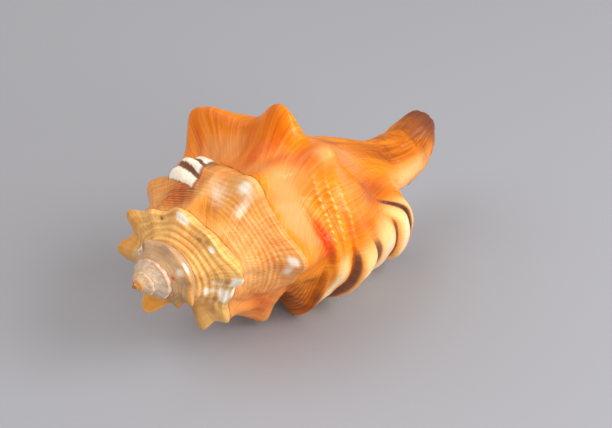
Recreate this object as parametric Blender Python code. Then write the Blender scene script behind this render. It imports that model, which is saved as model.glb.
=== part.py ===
"""Triton shell at rest on its aperture, modelled as the one piece that the animal grew.

The shell is a sheet coiled on an axis. Every point of it is given by two numbers:

turn     whorls grown before the outer lip: 0 at the lip, -1 one whorl earlier, and so on.
station  where the point lies across the whorl. From -1 at the suture to 0 at the keel it is a
         share of the sloping ramp; past the keel it is the run down the wall in millimetres,
         to the tip of the siphonal canal.

Shell axes: the apex is the origin and -Z points to the canal. The last step lays the shell
down, with its long axis along X, and puts the origin at the middle of the base of its box.
Lengths below are in millimetres, and are scaled to metres in one place.
"""

import math

import bmesh
import bpy
import numpy as np
from mathutils import Matrix, Vector

MM = 0.001

# Growth of the keel, the knobbed edge of the whorls: turn, radius, depth below the apex.
KEEL = (
    (-8, 0.15, 0.0),
    (-7, 0.90, 0.65),
    (-6, 2.05, 1.9),
    (-5, 3.80, 4.0),
    (-4, 6.30, 7.1),
    (-3, 10.1, 11.8),
    (-2, 15.9, 21.2),
    (-1, 23.1, 37.3),
    (0, 27.6, 56.0),
)
FIRST_TURN = -5.5
LIP_AZIMUTH = -18.0  # degrees round the axis

# Wall of the whorl below the keel: run, inward, down. One set behind the lip, one at it.
WALL_RUN = (0, 6, 12, 18, 24, 30, 36, 42, 48)
BACK_INWARD = (0, 1.5, 4.6, 8.6, 12.5, 15.7, 18.0, 19.5, 20.4)
BACK_DOWN = (0, 5.6, 10.8, 15.4, 20.0, 25.1, 30.6, 36.4, 42.0)
LIP_INWARD = (0, 0.5, 0.6, 0.8, 1.2, 2.4, 5.4, 10.5, 14.5)
LIP_DOWN = (0, 5.8, 11.8, 17.8, 23.8, 29.6, 34.8, 38.0, 41.5)

# Run below the keel at which the next whorl is laid on: turn, run.
SUTURE = (
    (-7.5, 0.3),
    (-6.0, 0.5),
    (-4.3, 1.3),
    (-3.3, 2.6),
    (-2.36, 2.0),
    (-2.27, 4.0),
    (-2.18, 4.0),
    (-2.1, 1.4),
    (-1.65, 1.0),
    (-1.56, 9.3),
    (-1.47, 9.3),
    (-1.37, 1.2),
    (-1.2, 1.2),
    (-1.12, 2.5),
    (-1.0, 6.5),
    (-0.9, 7.0),
)

# Siphonal canal: depth below the apex, offset towards the lip, rise when lying, radius.
CANAL = (
    (70, 0.0, 0.0, 20.0),
    (80, 3.0, -0.6, 11.2),
    (88, 5.5, -0.4, 8.8),
    (94, 6.3, 0.2, 8.0),
    (100, 6.3, 0.9, 7.4),
    (103, 6.2, 2.0, 7.0),
    (105.5, 6.0, 3.2, 6.4),
    (107.5, 5.8, 4.4, 5.4),
    (109, 5.6, 5.2, 4.4),
    (110, 5.5, 5.8, 3.6),
)
CANAL_START = 77.0
CANAL_END = 110.0
CANAL_PITCH = 0.65  # depth gained for each millimetre of run
CANAL_BLEND = (26.0, 46.0)  # runs between which the wall turns into the canal
RUN_END = 30.0 + (CANAL_END - CANAL_START) / CANAL_PITCH

# Knobs on the keel: degrees before the lip's azimuth 0, outward, towards the apex, half width.
KNOBS = (
    (104, 7.4, 1.4, 8.5),
    (133, 8.5, 1.0, 11),
    (190, 7.0, 0.5, 17),
    (232, 5.6, 0.0, 14),
    (270, 5.0, 0.0, 14),
    (307, 6.5, 2.4, 12),
    (337, 5.4, 0.5, 10),
    (375, -3.0, 0.0, 17),
    (419, 6.0, 1.0, 12),
    (472, 6.2, 2.0, 11),
    (570, 4.5, 1.0, 14),
    (610, 4.0, 1.0, 12),
    (650, 4.0, 1.0, 12),
    (691, 6.0, 2.7, 12),
    (713, 4.5, -1.0, 9),
    (778, 4.5, 0.0, 12),
    (820, 2.5, 1.5, 12),
    (858, 3.0, 1.0, 14),
    (895, 2.0, 1.5, 10),
    (922, 5.5, 2.0, 15),
    (960, 6.5, 3.0, 15),
    (1018, 6.4, 3.8, 16),
    (1060, 1.2, 0.6, 8),
    (1100, 2.0, 1.0, 10),
    (1143, 1.5, 1.0, 10),
    (1198, 1.5, 1.0, 10),
    (1250, 1.2, 0.6, 10),
    (1300, 1.0, 0.5, 10),
)

# Varices: the thickened lip, and the lips of earlier stops in growth.
# Ribs cross them, parted by narrow grooves at these runs from the keel.
GROOVES = (-9.5, -1.7, 8.0, 21.0, 28.0, 35.0, 42.0)
RIB_HEIGHT = 1.7
LIP_RIB_HEIGHT = 2.5
VARIX_HEIGHT = 2.2
EARLIER_VARICES = ((262, 0.6, 14), (531, 0.85, 14), (785, 0.35, 12))  # degrees back, share, half width
CORNER_SWELL = 3.5  # where the lip meets the whorl before
CARINA = 0.8  # how far the keel stands out between its knobs
# Hollows below the keel and in the lip: degrees back, run, half sizes, depth.
HOLLOWS = (
    (127, 12, 27, 8, 3.0),
    (12, 9, 22, 16, 2.6),
)
LIP_TAPER = 0.35  # how much thinner the varix is at the lip's edge

KEEL_ROUNDING = 2.6
THICKNESS = 2.2
INNER_RELIEF = 0.3  # share of the knobs and ribs that the inner face follows
CAVITY_TURNS = 0.5  # how far back from the lip the hollow is modelled

# Rest: azimuth that faces up, and how far the apex end is tipped up, both in degrees.
UP_AZIMUTH = 144.0
APEX_LIFT = 2.0

# Mesh density.
TURN_COLUMNS = 52
RAMP_ROWS = 5
COLLAR_ROWS = 1  # from the keel to the suture of the next whorl
UPPER_ROWS = RAMP_ROWS + COLLAR_ROWS
EDGE_ROWS = 1  # across the thickness of the lip
WALL_ROWS = 20  # down the wall of the whorl
CANAL_ROWS = 7
LOWER_ROWS = EDGE_ROWS + WALL_ROWS + CANAL_ROWS
DEEP_COLUMNS = 2
SEAM = 1e-6  # points this close are one, in metres

SHELL_COLOUR = (0.78, 0.33, 0.08, 1.0)
SHELL_ROUGHNESS = 0.3


class Curve:
    """Natural cubic spline through (x, y) stations, straight beyond its ends."""

    def __init__(self, xs, ys):
        self.xs = np.array(xs, float)
        self.ys = np.array(ys, float)
        step = np.diff(self.xs)
        rise = np.diff(self.ys) / step
        count = len(self.xs)
        system = np.eye(count)
        wanted = np.zeros(count)
        for i in range(1, count - 1):
            system[i, i - 1 : i + 2] = step[i - 1], 2 * (step[i - 1] + step[i]), step[i]
            wanted[i] = 6 * (rise[i] - rise[i - 1])
        self.bend = np.linalg.solve(system, wanted)

    def __call__(self, x):
        x = np.asarray(x, float)
        inside = np.clip(x, self.xs[0], self.xs[-1])
        i = np.clip(np.searchsorted(self.xs, inside) - 1, 0, len(self.xs) - 2)
        step = self.xs[i + 1] - self.xs[i]
        b = (inside - self.xs[i]) / step
        a = 1 - b
        curl = (a**3 - a) * self.bend[i] + (b**3 - b) * self.bend[i + 1]
        value = a * self.ys[i] + b * self.ys[i + 1] + curl * step**2 / 6
        return value + self.slope(inside) * (x - inside)

    def slope(self, x):
        x = np.clip(np.asarray(x, float), self.xs[0], self.xs[-1])
        i = np.clip(np.searchsorted(self.xs, x) - 1, 0, len(self.xs) - 2)
        step = self.xs[i + 1] - self.xs[i]
        b = (x - self.xs[i]) / step
        a = 1 - b
        curl = (3 * b**2 - 1) * self.bend[i + 1] - (3 * a**2 - 1) * self.bend[i]
        return (self.ys[i + 1] - self.ys[i]) / step + curl * step / 6


def ease(start, end, x):
    """0 before start, 1 after end, and smooth between."""
    share = np.clip((x - start) / (end - start), 0, 1)
    return share * share * (3 - 2 * share)


def hump(x, power=2.0):
    """1 at 0, falling away on both sides."""
    return np.exp(-np.abs(x) ** power)


keel_turns, keel_radii, keel_depths = zip(*KEEL)
keel_radius = Curve(keel_turns, keel_radii)
keel_depth = Curve(keel_turns, keel_depths)
back_inward = Curve(WALL_RUN, BACK_INWARD)
back_down = Curve(WALL_RUN, BACK_DOWN)
lip_inward = Curve(WALL_RUN, LIP_INWARD)
lip_down = Curve(WALL_RUN, LIP_DOWN)
canal_depths, canal_offsets, canal_rises, canal_radii = zip(*CANAL)
canal_offset = Curve(canal_depths, canal_offsets)
canal_rise = Curve(canal_depths, canal_rises)
canal_radius = Curve(canal_depths, canal_radii)


def growth(turn):
    """Size of the whorl against the last one."""
    return keel_radius(turn) / keel_radius(0)


def suture_run(turn):
    """Run below the keel at which the next whorl is laid on."""
    turns, runs = zip(*SUTURE)
    return np.interp(turn, turns, runs) / growth(turn)


def degrees_back(turn):
    """Degrees before azimuth 0 of the lip's whorl."""
    return -360 * turn + LIP_AZIMUTH


def wall_base(turn, run):
    """Radius and depth of the wall below the keel, with no relief."""
    run = np.minimum(run, WALL_RUN[-1])
    at_lip = ease(-0.30, -0.03, turn)
    inward = (1 - at_lip) * back_inward(run) + at_lip * lip_inward(run)
    down = (1 - at_lip) * back_down(run) + at_lip * lip_down(run)
    radius = keel_radius(turn) - growth(turn) * inward
    return radius, keel_depth(turn) + growth(turn) * down


def outward(turn, run):
    """Unit normal of the wall in its meridian plane, as radial and depth parts."""
    step = 0.05
    on_wall = np.clip(run, step, WALL_RUN[-1] - step)
    r0, h0 = wall_base(turn, on_wall - step)
    r1, h1 = wall_base(turn, on_wall + step)
    length = np.hypot(r1 - r0, h1 - h0)
    tube = ease(*CANAL_BLEND, run)
    return (1 - tube) * (h1 - h0) / length + tube, (tube - 1) * (r1 - r0) / length


def knob_push(turn):
    """How far the keel stands out of its even line, outward and towards the apex."""
    back = degrees_back(turn)
    out = CARINA * growth(turn) * ease(-18, 40, back)
    up = np.zeros_like(back)
    for centre, height, lift, width in KNOBS:
        shape = hump((back - centre) / width)
        out = out + height * shape
        up = up + lift * shape
    return out, up


def rib_profile(turn, run):
    """Rounded ribs, from 0 in the grooves to 1: behind the lip they draw in towards the keel."""
    back = degrees_back(turn)
    along = run + 0.65 * ease(36, 72, back) * ease(150, 100, back) * (run + 2)
    place = np.interp(along, GROOVES, np.arange(len(GROOVES)))
    return 1 - np.abs(2 * (place % 1) - 1) ** 4


def varix(turn, run):
    """Thickening behind the lip and at the earlier varices, ribbed across."""
    back = degrees_back(turn)
    edge = 1 - LIP_TAPER * ease(14, -18, back)
    lip = ease(66, 24, back) * edge
    lip_ribs = ease(60, 36, back) * edge
    older = np.zeros_like(back)
    for centre, share, width in EARLIER_VARICES:
        older = older + share * hump((back - centre) / width)
    ends = 1 - ease(36, 44, run)
    hollow = np.zeros_like(back)
    for hollow_back, hollow_run, half_back, half_run, deep in HOLLOWS:
        shape = hump((back - hollow_back) / half_back) * hump((run - hollow_run) / half_run)
        hollow = hollow + deep * shape
    even = VARIX_HEIGHT * ease(-4.5, 1, run) * (lip + older)
    ribs = (LIP_RIB_HEIGHT * lip_ribs + RIB_HEIGHT * older) * rib_profile(turn, run)
    return ends * (even + ribs) - hollow


def sharp_wall(turn, run, relief):
    """Outer face below the keel, before the keel is rounded."""
    radius, depth = wall_base(turn, run)
    across, along = outward(turn, run)
    at_keel = ease(5, 0, run)
    out, up = knob_push(turn)
    fade = relief * hump(run / 7.5, 1.8)
    swell = relief * varix(turn, run)
    radius = radius + fade * out + swell * ((1 - at_keel) * across + at_keel)
    return radius, depth - fade * up + swell * (1 - at_keel) * along


def sharp_ramp(turn, share, relief, foot):
    """Ramp up from its foot, before the keel is rounded, and the length of its slope."""
    r0, h0 = foot
    dr, dh = keel_radius(turn) - r0, keel_depth(turn) - h0
    length = np.hypot(dr, dh) + 1e-9
    bow = (0.16 * ease(-0.25, 0, turn) - 0.06) * np.sin(math.pi * share)
    out, up = knob_push(turn)
    fade = relief * share**2.2
    run = (share - 1) * length / growth(turn)
    back = degrees_back(turn)
    corner = CORNER_SWELL * ease(30, -10, back) * hump((share - 0.38) / 0.3) * ease(0, 0.15, share)
    swell = relief * (varix(turn, run) * ease(0, 0.3, share) + corner * (1 - ease(0.8, 1, share)))
    at_keel = ease(0.65, 1, share)
    radius = r0 + dr * share + bow * dh + fade * out
    depth = h0 + dh * share - bow * dr - fade * up
    radius = radius + swell * ((1 - at_keel) * dh / length + at_keel)
    return radius, depth - swell * (1 - at_keel) * dr / length, length


def rounding(turn, distance, relief):
    """Shift, as radius and depth, that rounds the keel: distance is from it, in millimetres."""
    step = 0.02
    keel = sharp_wall(turn, 0 * turn, relief)
    below = sharp_wall(turn, 0 * turn + step, relief)
    foot = sharp_wall(turn - 1, suture_run(turn - 1), relief)
    above = sharp_ramp(turn, 0 * turn + 1 - step / 10, relief, foot)
    down = np.hypot(below[0] - keel[0], below[1] - keel[1])
    rise = np.hypot(keel[0] - above[0], keel[1] - above[1])
    reach = KEEL_ROUNDING * growth(turn)
    shift = np.maximum(reach - distance, 0) ** 2 / (4 * reach)
    radial = (below[0] - keel[0]) / down - (keel[0] - above[0]) / rise
    axial = (below[1] - keel[1]) / down - (keel[1] - above[1]) / rise
    return shift * radial, shift * axial


def wall(turn, run, relief=1.0):
    """Radius and depth of the outer face below the keel."""
    radius, depth = sharp_wall(turn, run, relief)
    inward, down = rounding(turn, run * growth(turn), relief)
    return radius + inward, depth + down


def ramp(turn, share, relief=1.0):
    """Radius and depth of the ramp: share is 0 at the suture and 1 at the keel."""
    foot = wall(turn - 1, suture_run(turn - 1))
    radius, depth, length = sharp_ramp(turn, share, relief, foot)
    inward, down = rounding(turn, (1 - share) * length, relief)
    return radius + inward, depth + down


def in_space(turn, station, radius, depth):
    """Points in the shell's axes, with the foot of the wall drawn into the canal."""
    azimuth = -2 * math.pi * turn + math.radians(LIP_AZIMUTH)
    blend = ease(*CANAL_BLEND, station)
    canal = np.clip(CANAL_START + (station - 30) * CANAL_PITCH, CANAL[0][0], CANAL_END)
    up = math.radians(UP_AZIMUTH)
    roll = 1 - 0.45 * ease(-0.55, -1.0, turn) - 0.2 * ease(-1.0, -1.3, turn)
    tube = canal_radius(canal) * roll + (radius - wall_base(turn, station)[0])
    tilt = 0.45 * canal_rise.slope(canal) * tube * np.cos(azimuth - up)
    x = tube * np.cos(azimuth) + canal_offset(canal) + canal_rise(canal) * math.cos(up)
    y = tube * np.sin(azimuth) + canal_rise(canal) * math.sin(up)
    x = (1 - blend) * radius * np.cos(azimuth) + blend * x
    y = (1 - blend) * radius * np.sin(azimuth) + blend * y
    z = -((1 - blend) * depth + blend * (canal - tilt))
    return np.stack([x, y, z], axis=-1)


def outer_face(turn, station):
    """Outer face: stations from -1 at the suture to the end of the canal."""
    on_ramp = station < 0
    r_ramp, h_ramp = ramp(turn, np.clip(1 + station, 0, 1))
    r_wall, h_wall = wall(turn, np.maximum(station, 0))
    radius = np.where(on_ramp, r_ramp, r_wall)
    depth = np.where(on_ramp, h_ramp, h_wall)
    return in_space(turn, station, radius, depth)


def parietal_run(turn):
    """Run at which the roof of the hollow meets the whorl before."""
    return suture_run(turn) + THICKNESS / growth(turn)


def inner_face(turn, station):
    """Inner face of the last whorl, a shell's thickness inside the outer face."""
    share = np.clip(1 + station, 0, 1)
    step = 0.01
    r0, h0 = ramp(turn, np.maximum(share - step, 0), 0)
    r1, h1 = ramp(turn, np.minimum(share + step, 1), 0)
    length = np.hypot(r1 - r0, h1 - h0) + 1e-9
    radius, depth = ramp(turn, share, INNER_RELIEF)
    at_keel = ease(0.6, 1.0, share)
    r_ramp = radius - THICKNESS * ((1 - at_keel) * (h1 - h0) / length + at_keel)
    h_ramp = depth + THICKNESS * (1 - at_keel) * (r1 - r0) / length
    run = np.maximum(station, 0)
    across, along = outward(turn, run)
    radius, depth = wall(turn, run, INNER_RELIEF)
    at_keel = ease(6, 0, run)
    r_wall = radius - THICKNESS * ((1 - at_keel) * across + at_keel)
    h_wall = depth - THICKNESS * (1 - at_keel) * along
    on_ramp = station < 0
    points = in_space(turn, station, np.where(on_ramp, r_ramp, r_wall), np.where(on_ramp, h_ramp, h_wall))
    root = outer_face(turn - 1, parietal_run(turn - 1))
    free = ease(0, 0.4, share)[..., None]
    return (1 - free) * root + free * points


def patch(bm, columns, rows, place):
    """Adds a grid whose vertex (i, j) stands at place(i, j), both counted from 0."""
    grid = bmesh.ops.create_grid(bm, x_segments=columns, y_segments=rows, size=0.5)["verts"]
    flat = np.array([vertex.co[:2] for vertex in grid]) + 0.5
    index = np.rint(flat * (columns, rows))
    for vertex, point in zip(grid, place(index[:, 0], index[:, 1]) * MM):
        vertex.co = point


def upper_station(turn, row):
    """Stations from the suture, over the keel, to the suture of the next whorl."""
    run = np.maximum(row - RAMP_ROWS, 0) / COLLAR_ROWS * suture_run(turn)
    return np.where(row < RAMP_ROWS, row / RAMP_ROWS - 1, run)


def lower_station(turn, row):
    """Stations from the next suture, past the next whorl's thickness, to the canal's end."""
    first = suture_run(turn)
    start = parietal_run(turn)
    share = np.clip((row - EDGE_ROWS) / WALL_ROWS, 0, 1)
    upper = first + (start - first) * row / EDGE_ROWS
    lower = start + (WALL_RUN[-1] - start) * share
    tube = (RUN_END - WALL_RUN[-1]) * np.maximum(row - EDGE_ROWS - WALL_ROWS, 0) / CANAL_ROWS
    return np.where(row < EDGE_ROWS, upper, lower + tube)


def whole_station(turn, row):
    """Stations of the whole last whorl, from its suture to the canal's end."""
    upper = upper_station(turn, np.minimum(row, UPPER_ROWS))
    return np.where(row < UPPER_ROWS, upper, lower_station(turn, np.maximum(row - UPPER_ROWS, 0)))


def add_spire(bm):
    """Ramps and keels of all the whorls, each one seamed to the one before."""

    def place(i, j):
        turn = FIRST_TURN + i / TURN_COLUMNS
        return outer_face(turn, upper_station(turn, j))

    patch(bm, round(-FIRST_TURN * TURN_COLUMNS), UPPER_ROWS, place)


def add_last_wall(bm):
    """Open wall of the last whorl, from the suture to the end of the canal."""

    def place(i, j):
        turn = -1 + i / TURN_COLUMNS
        return outer_face(turn, lower_station(turn, j))

    patch(bm, TURN_COLUMNS, LOWER_ROWS, place)


def add_hollow(bm):
    """The hollow's columella side, its lining, the lip's rim and the deep end."""
    back = round(CAVITY_TURNS * TURN_COLUMNS)
    all_rows = UPPER_ROWS + LOWER_ROWS

    def columella(i, j):
        turn = -1 - (back - i) / TURN_COLUMNS
        return outer_face(turn, lower_station(turn, j + EDGE_ROWS))

    def lining(i, j):
        turn = -(back - i) / TURN_COLUMNS
        return inner_face(turn, whole_station(turn, j))

    def rim(i, j):
        turn = np.zeros_like(j)
        outside = outer_face(turn, whole_station(turn, j))
        inside = inner_face(turn, whole_station(turn, j))
        share = (i / EDGE_ROWS)[..., None]
        return (1 - share) * outside + share * inside

    def deep_end(i, j):
        start = np.zeros_like(j)
        near = columella(start, np.maximum(j - UPPER_ROWS - EDGE_ROWS, 0))
        share = (i / DEEP_COLUMNS)[..., None]
        return (1 - share) * near + share * lining(start, j)

    patch(bm, back, LOWER_ROWS - EDGE_ROWS, columella)
    patch(bm, back, all_rows, lining)
    patch(bm, EDGE_ROWS, all_rows, rim)
    patch(bm, DEEP_COLUMNS, all_rows, deep_end)


def close_ends(bm):
    """Caps the apex with a fan and the end of the canal with a flat face."""
    edges = [edge for edge in bm.edges if edge.is_boundary]
    caps = bmesh.ops.holes_fill(bm, edges=edges, sides=0)["faces"]
    caps.sort(key=lambda face: -face.calc_center_median().z)
    tip = bmesh.ops.poke(bm, faces=caps[:1])["verts"][0]
    tip.co = (0, 0, 0)
    bmesh.ops.triangulate(bm, faces=caps[1:], ngon_method="EAR_CLIP")


def lay_down(bm):
    """Turns the shell onto its aperture, with the origin at the middle of its box's base."""
    azimuth = math.radians(UP_AZIMUTH)
    lift = math.radians(APEX_LIFT)
    up = Vector((math.cos(lift) * math.cos(azimuth), math.cos(lift) * math.sin(azimuth), math.sin(lift)))
    side = up.cross(Vector((0, 0, -1))).normalized()
    forward = side.cross(up)
    bmesh.ops.transform(bm, matrix=Matrix((forward, side, up)).to_4x4(), verts=bm.verts)
    corners = np.array([vertex.co for vertex in bm.verts])
    low, high = corners.min(axis=0), corners.max(axis=0)
    base = Vector(((low[0] + high[0]) / 2, (low[1] + high[1]) / 2, low[2]))
    bmesh.ops.translate(bm, vec=-base, verts=bm.verts)


def build_shell():
    """The shell as one closed body."""
    bm = bmesh.new()
    add_spire(bm)
    add_last_wall(bm)
    add_hollow(bm)
    bmesh.ops.remove_doubles(bm, verts=bm.verts, dist=SEAM)
    close_ends(bm)
    bmesh.ops.triangulate(bm, faces=bm.faces)
    bmesh.ops.recalc_face_normals(bm, faces=bm.faces)
    lay_down(bm)
    return bm


def shell_material():
    """Plain orange-brown glossy shell."""
    material = bpy.data.materials.new("shell")
    material.use_nodes = True
    surface = material.node_tree.nodes["Principled BSDF"]
    surface.inputs["Base Color"].default_value = SHELL_COLOUR
    surface.inputs["Roughness"].default_value = SHELL_ROUGHNESS
    surface.inputs["Metallic"].default_value = 0.0
    return material


def main():
    """Clears the scene and adds the shell."""
    for obj in list(bpy.data.objects):
        bpy.data.objects.remove(obj)
    mesh = bpy.data.meshes.new("shell")
    bm = build_shell()
    bm.to_mesh(mesh)
    bm.free()
    mesh.shade_smooth()
    mesh.materials.append(shell_material())
    bpy.context.collection.objects.link(bpy.data.objects.new("shell", mesh))


if __name__ == "__main__":
    main()
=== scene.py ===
"""Looks of a triton shell that lies on its aperture.

The shell is a coiled sheet. A point of it is given by two numbers: the turn, counted in whorls
from the outer lip (0 at the lip, negative before it), and the station across the whorl, from -1
at the suture to 0 at the keel and on down the wall in millimetres to the end of the canal.
Shell axes have the apex at the origin and -Z towards the canal, in millimetres.
"""

import logging
import math
from dataclasses import dataclass, field
from enum import Enum
from typing import Callable, Sequence, Union

import bmesh
import bpy
import numpy as np
from mathutils import Matrix, Vector


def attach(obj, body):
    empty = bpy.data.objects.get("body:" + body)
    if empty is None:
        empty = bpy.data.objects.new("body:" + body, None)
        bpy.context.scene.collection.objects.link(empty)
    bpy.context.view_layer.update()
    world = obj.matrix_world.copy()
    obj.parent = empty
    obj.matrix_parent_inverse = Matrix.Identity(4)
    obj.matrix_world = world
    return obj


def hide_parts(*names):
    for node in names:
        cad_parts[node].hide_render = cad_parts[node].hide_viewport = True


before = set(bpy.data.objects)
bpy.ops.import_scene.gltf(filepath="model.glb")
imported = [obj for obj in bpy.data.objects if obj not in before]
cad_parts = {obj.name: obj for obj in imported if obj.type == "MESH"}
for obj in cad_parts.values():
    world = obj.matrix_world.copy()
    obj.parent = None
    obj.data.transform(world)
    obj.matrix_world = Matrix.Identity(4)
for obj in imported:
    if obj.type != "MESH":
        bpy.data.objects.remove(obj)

LOG = logging.getLogger("triton")
MM = 0.001
TAU = 2 * math.pi
ARC_PER_DEGREE = 27.6 * TAU / 360  # millimetres along the last whorl's keel

Array = np.ndarray


def ease(start: float, end: float, x: Array) -> Array:
    """Smooth step: 0 before start, 1 after end."""
    share = np.clip((x - start) / (end - start), 0, 1)
    return share * share * (3 - 2 * share)


def hump(x: Array, power: float = 2.0) -> Array:
    """Bell: 1 at 0, falling away on both sides."""
    return np.exp(-np.abs(x) ** power)


class Spline:
    """Natural cubic spline through stations, straight beyond its ends."""

    def __init__(self, xs: Sequence[float], ys: Sequence[float]) -> None:
        """Solves the bends at the stations.

        Args:
            xs: rising station positions.
            ys: value at each station.
        """
        self.xs = np.array(xs, float)
        self.ys = np.array(ys, float)
        step = np.diff(self.xs)
        rise = np.diff(self.ys) / step
        count = len(self.xs)
        system = np.eye(count)
        wanted = np.zeros(count)
        for i in range(1, count - 1):
            system[i, i - 1 : i + 2] = step[i - 1], 2 * (step[i - 1] + step[i]), step[i]
            wanted[i] = 6 * (rise[i] - rise[i - 1])
        self.bend = np.linalg.solve(system, wanted)

    def _locate(self, x: Array) -> tuple[Array, Array, Array]:
        """Segment, its length and the share along it of each x.

        Args:
            x: positions.

        Returns:
            Segment numbers, lengths and shares.
        """
        i = np.clip(np.searchsorted(self.xs, x) - 1, 0, len(self.xs) - 2)
        step = self.xs[i + 1] - self.xs[i]
        return i, step, (x - self.xs[i]) / step

    def __call__(self, x: Array) -> Array:
        """Value at x.

        Args:
            x: positions.

        Returns:
            Values.
        """
        x = np.asarray(x, float)
        inside = np.clip(x, self.xs[0], self.xs[-1])
        i, step, b = self._locate(inside)
        a = 1 - b
        curl = (a**3 - a) * self.bend[i] + (b**3 - b) * self.bend[i + 1]
        value = a * self.ys[i] + b * self.ys[i + 1] + curl * step**2 / 6
        return value + self.slope(inside) * (x - inside)

    def slope(self, x: Array) -> Array:
        """Slope at x.

        Args:
            x: positions.

        Returns:
            Slopes.
        """
        x = np.clip(np.asarray(x, float), self.xs[0], self.xs[-1])
        i, step, b = self._locate(x)
        a = 1 - b
        curl = (3 * b**2 - 1) * self.bend[i + 1] - (3 * a**2 - 1) * self.bend[i]
        return (self.ys[i + 1] - self.ys[i]) / step + curl * step / 6


@dataclass
class Coil:
    """Law of growth of the shell: where each turn and station lies.

    Lengths are in millimetres and azimuths in degrees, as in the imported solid. Run is the
    distance below the keel at full growth, and back the degrees before azimuth 0 of the lip's
    whorl. A pair named start, end, top, foot, fade or turn holds the two places between which
    the thing rises or falls.
    """

    # turn, radius and depth of the keel
    keel: tuple = (
        (-8, 0.15, 0.0), (-7, 0.90, 0.65), (-6, 2.05, 1.9), (-5, 3.80, 4.0), (-4, 6.30, 7.1),
        (-3, 10.1, 11.8), (-2, 15.9, 21.2), (-1, 23.1, 37.3), (0, 27.6, 56.0),
    )
    lip_azimuth: float = -18.0
    lip_flare: tuple = (-0.30, -0.03)  # turns over which the wall opens into the lip
    # run, and there the wall's reach inward and down, whorls back and at the lip
    wall_run: tuple = (0, 6, 12, 18, 24, 30, 36, 42, 48)
    back_inward: tuple = (0, 1.5, 4.6, 8.6, 12.5, 15.7, 18.0, 19.5, 20.4)
    back_down: tuple = (0, 5.6, 10.8, 15.4, 20.0, 25.1, 30.6, 36.4, 42.0)
    lip_inward: tuple = (0, 0.5, 0.6, 0.8, 1.2, 2.4, 5.4, 10.5, 14.5)
    lip_down: tuple = (0, 5.8, 11.8, 17.8, 23.8, 29.6, 34.8, 38.0, 41.5)
    # turn, and run at which the next whorl is laid on
    suture: tuple = (
        (-7.5, 0.3), (-6.0, 0.5), (-4.3, 1.3), (-3.3, 2.6), (-2.36, 2.0), (-2.27, 4.0),
        (-2.18, 4.0), (-2.1, 1.4), (-1.65, 1.0), (-1.56, 9.3), (-1.47, 9.3), (-1.37, 1.2),
        (-1.2, 1.2), (-1.12, 2.5), (-1.0, 6.5), (-0.9, 7.0),
    )
    # depth, and there the canal's offset, rise and radius
    canal: tuple = (
        (70, 0.0, 0.0, 20.0), (80, 3.0, -0.6, 11.2), (88, 5.5, -0.4, 8.8), (94, 6.3, 0.2, 8.0),
        (100, 6.3, 0.9, 7.4), (103, 6.2, 2.0, 7.0), (105.5, 6.0, 3.2, 6.4),
        (107.5, 5.8, 4.4, 5.4), (109, 5.6, 5.2, 4.4), (110, 5.5, 5.8, 3.6),
    )
    canal_run: float = 30.0  # run that lies at the start of the canal
    canal_start: float = 77.0
    canal_end: float = 110.0
    canal_pitch: float = 0.65
    canal_blend: tuple = (26.0, 46.0)
    # back, height, lift towards the apex and half width
    knobs: tuple = (
        (104, 7.4, 1.4, 8.5), (133, 8.5, 1.0, 11), (190, 7.0, 0.5, 17), (232, 5.6, 0.0, 14),
        (270, 5.0, 0.0, 14), (307, 6.5, 2.4, 12), (337, 5.4, 0.5, 10), (375, -3.0, 0.0, 17),
        (419, 6.0, 1.0, 12), (472, 6.2, 2.0, 11), (570, 4.5, 1.0, 14), (610, 4.0, 1.0, 12),
        (650, 4.0, 1.0, 12), (691, 6.0, 2.7, 12), (713, 4.5, -1.0, 9), (778, 4.5, 0.0, 12),
        (820, 2.5, 1.5, 12), (858, 3.0, 1.0, 14), (895, 2.0, 1.5, 10), (922, 5.5, 2.0, 15),
        (960, 6.5, 3.0, 15), (1018, 6.4, 3.8, 16), (1060, 1.2, 0.6, 8), (1100, 2.0, 1.0, 10),
        (1143, 1.5, 1.0, 10), (1198, 1.5, 1.0, 10), (1250, 1.2, 0.6, 10), (1300, 1.0, 0.5, 10),
    )
    # runs of the grooves between the ribs behind the lip
    grooves: tuple = (-9.5, -1.7, 8.0, 21.0, 28.0, 35.0, 42.0)
    gather: float = 0.65  # share by which ribs behind the lip draw in to the keel
    gather_start: tuple = (36, 72)
    gather_end: tuple = (150, 100)
    gather_run: float = -2.0
    lip_rib_height: float = 2.5
    lip_rib_start: tuple = (60, 36)
    varix_height: float = 2.2
    varix_start: tuple = (66, 24)
    varix_top: tuple = (-4.5, 1)
    varix_foot: tuple = (36, 44)
    # back, share of the height and half width
    earlier_varices: tuple = ((262, 0.6, 14), (531, 0.85, 14), (785, 0.35, 12))
    corner_swell: float = 3.5
    corner_start: tuple = (30, -10)
    corner_place: float = 0.38
    corner_half: float = 0.3
    carina: float = 0.8
    carina_start: tuple = (-18, 40)
    # back, run, half of each width and depth
    hollows: tuple = ((127, 12, 27, 8, 3.0), (12, 9, 22, 16, 2.6))
    lip_taper: float = 0.35
    lip_taper_start: tuple = (14, -18)
    old_lip_back: float = 530.0
    old_lip_half: float = 19.0
    old_lip_slant: float = 0.17
    # run of the crest and half width
    old_lip_ribs: tuple = ((-3.5, 1.6), (1.5, 1.25), (6.8, 1.9))
    old_rib_height: float = 0.75
    keel_rounding: float = 2.6
    slope_step: float = 0.05
    thickness: float = 2.2
    inner_relief: float = 0.3
    up_azimuth: float = 144.0
    apex_lift: float = 2.0
    base: tuple = (55.4067, 0.4887, -30.6302)

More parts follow.
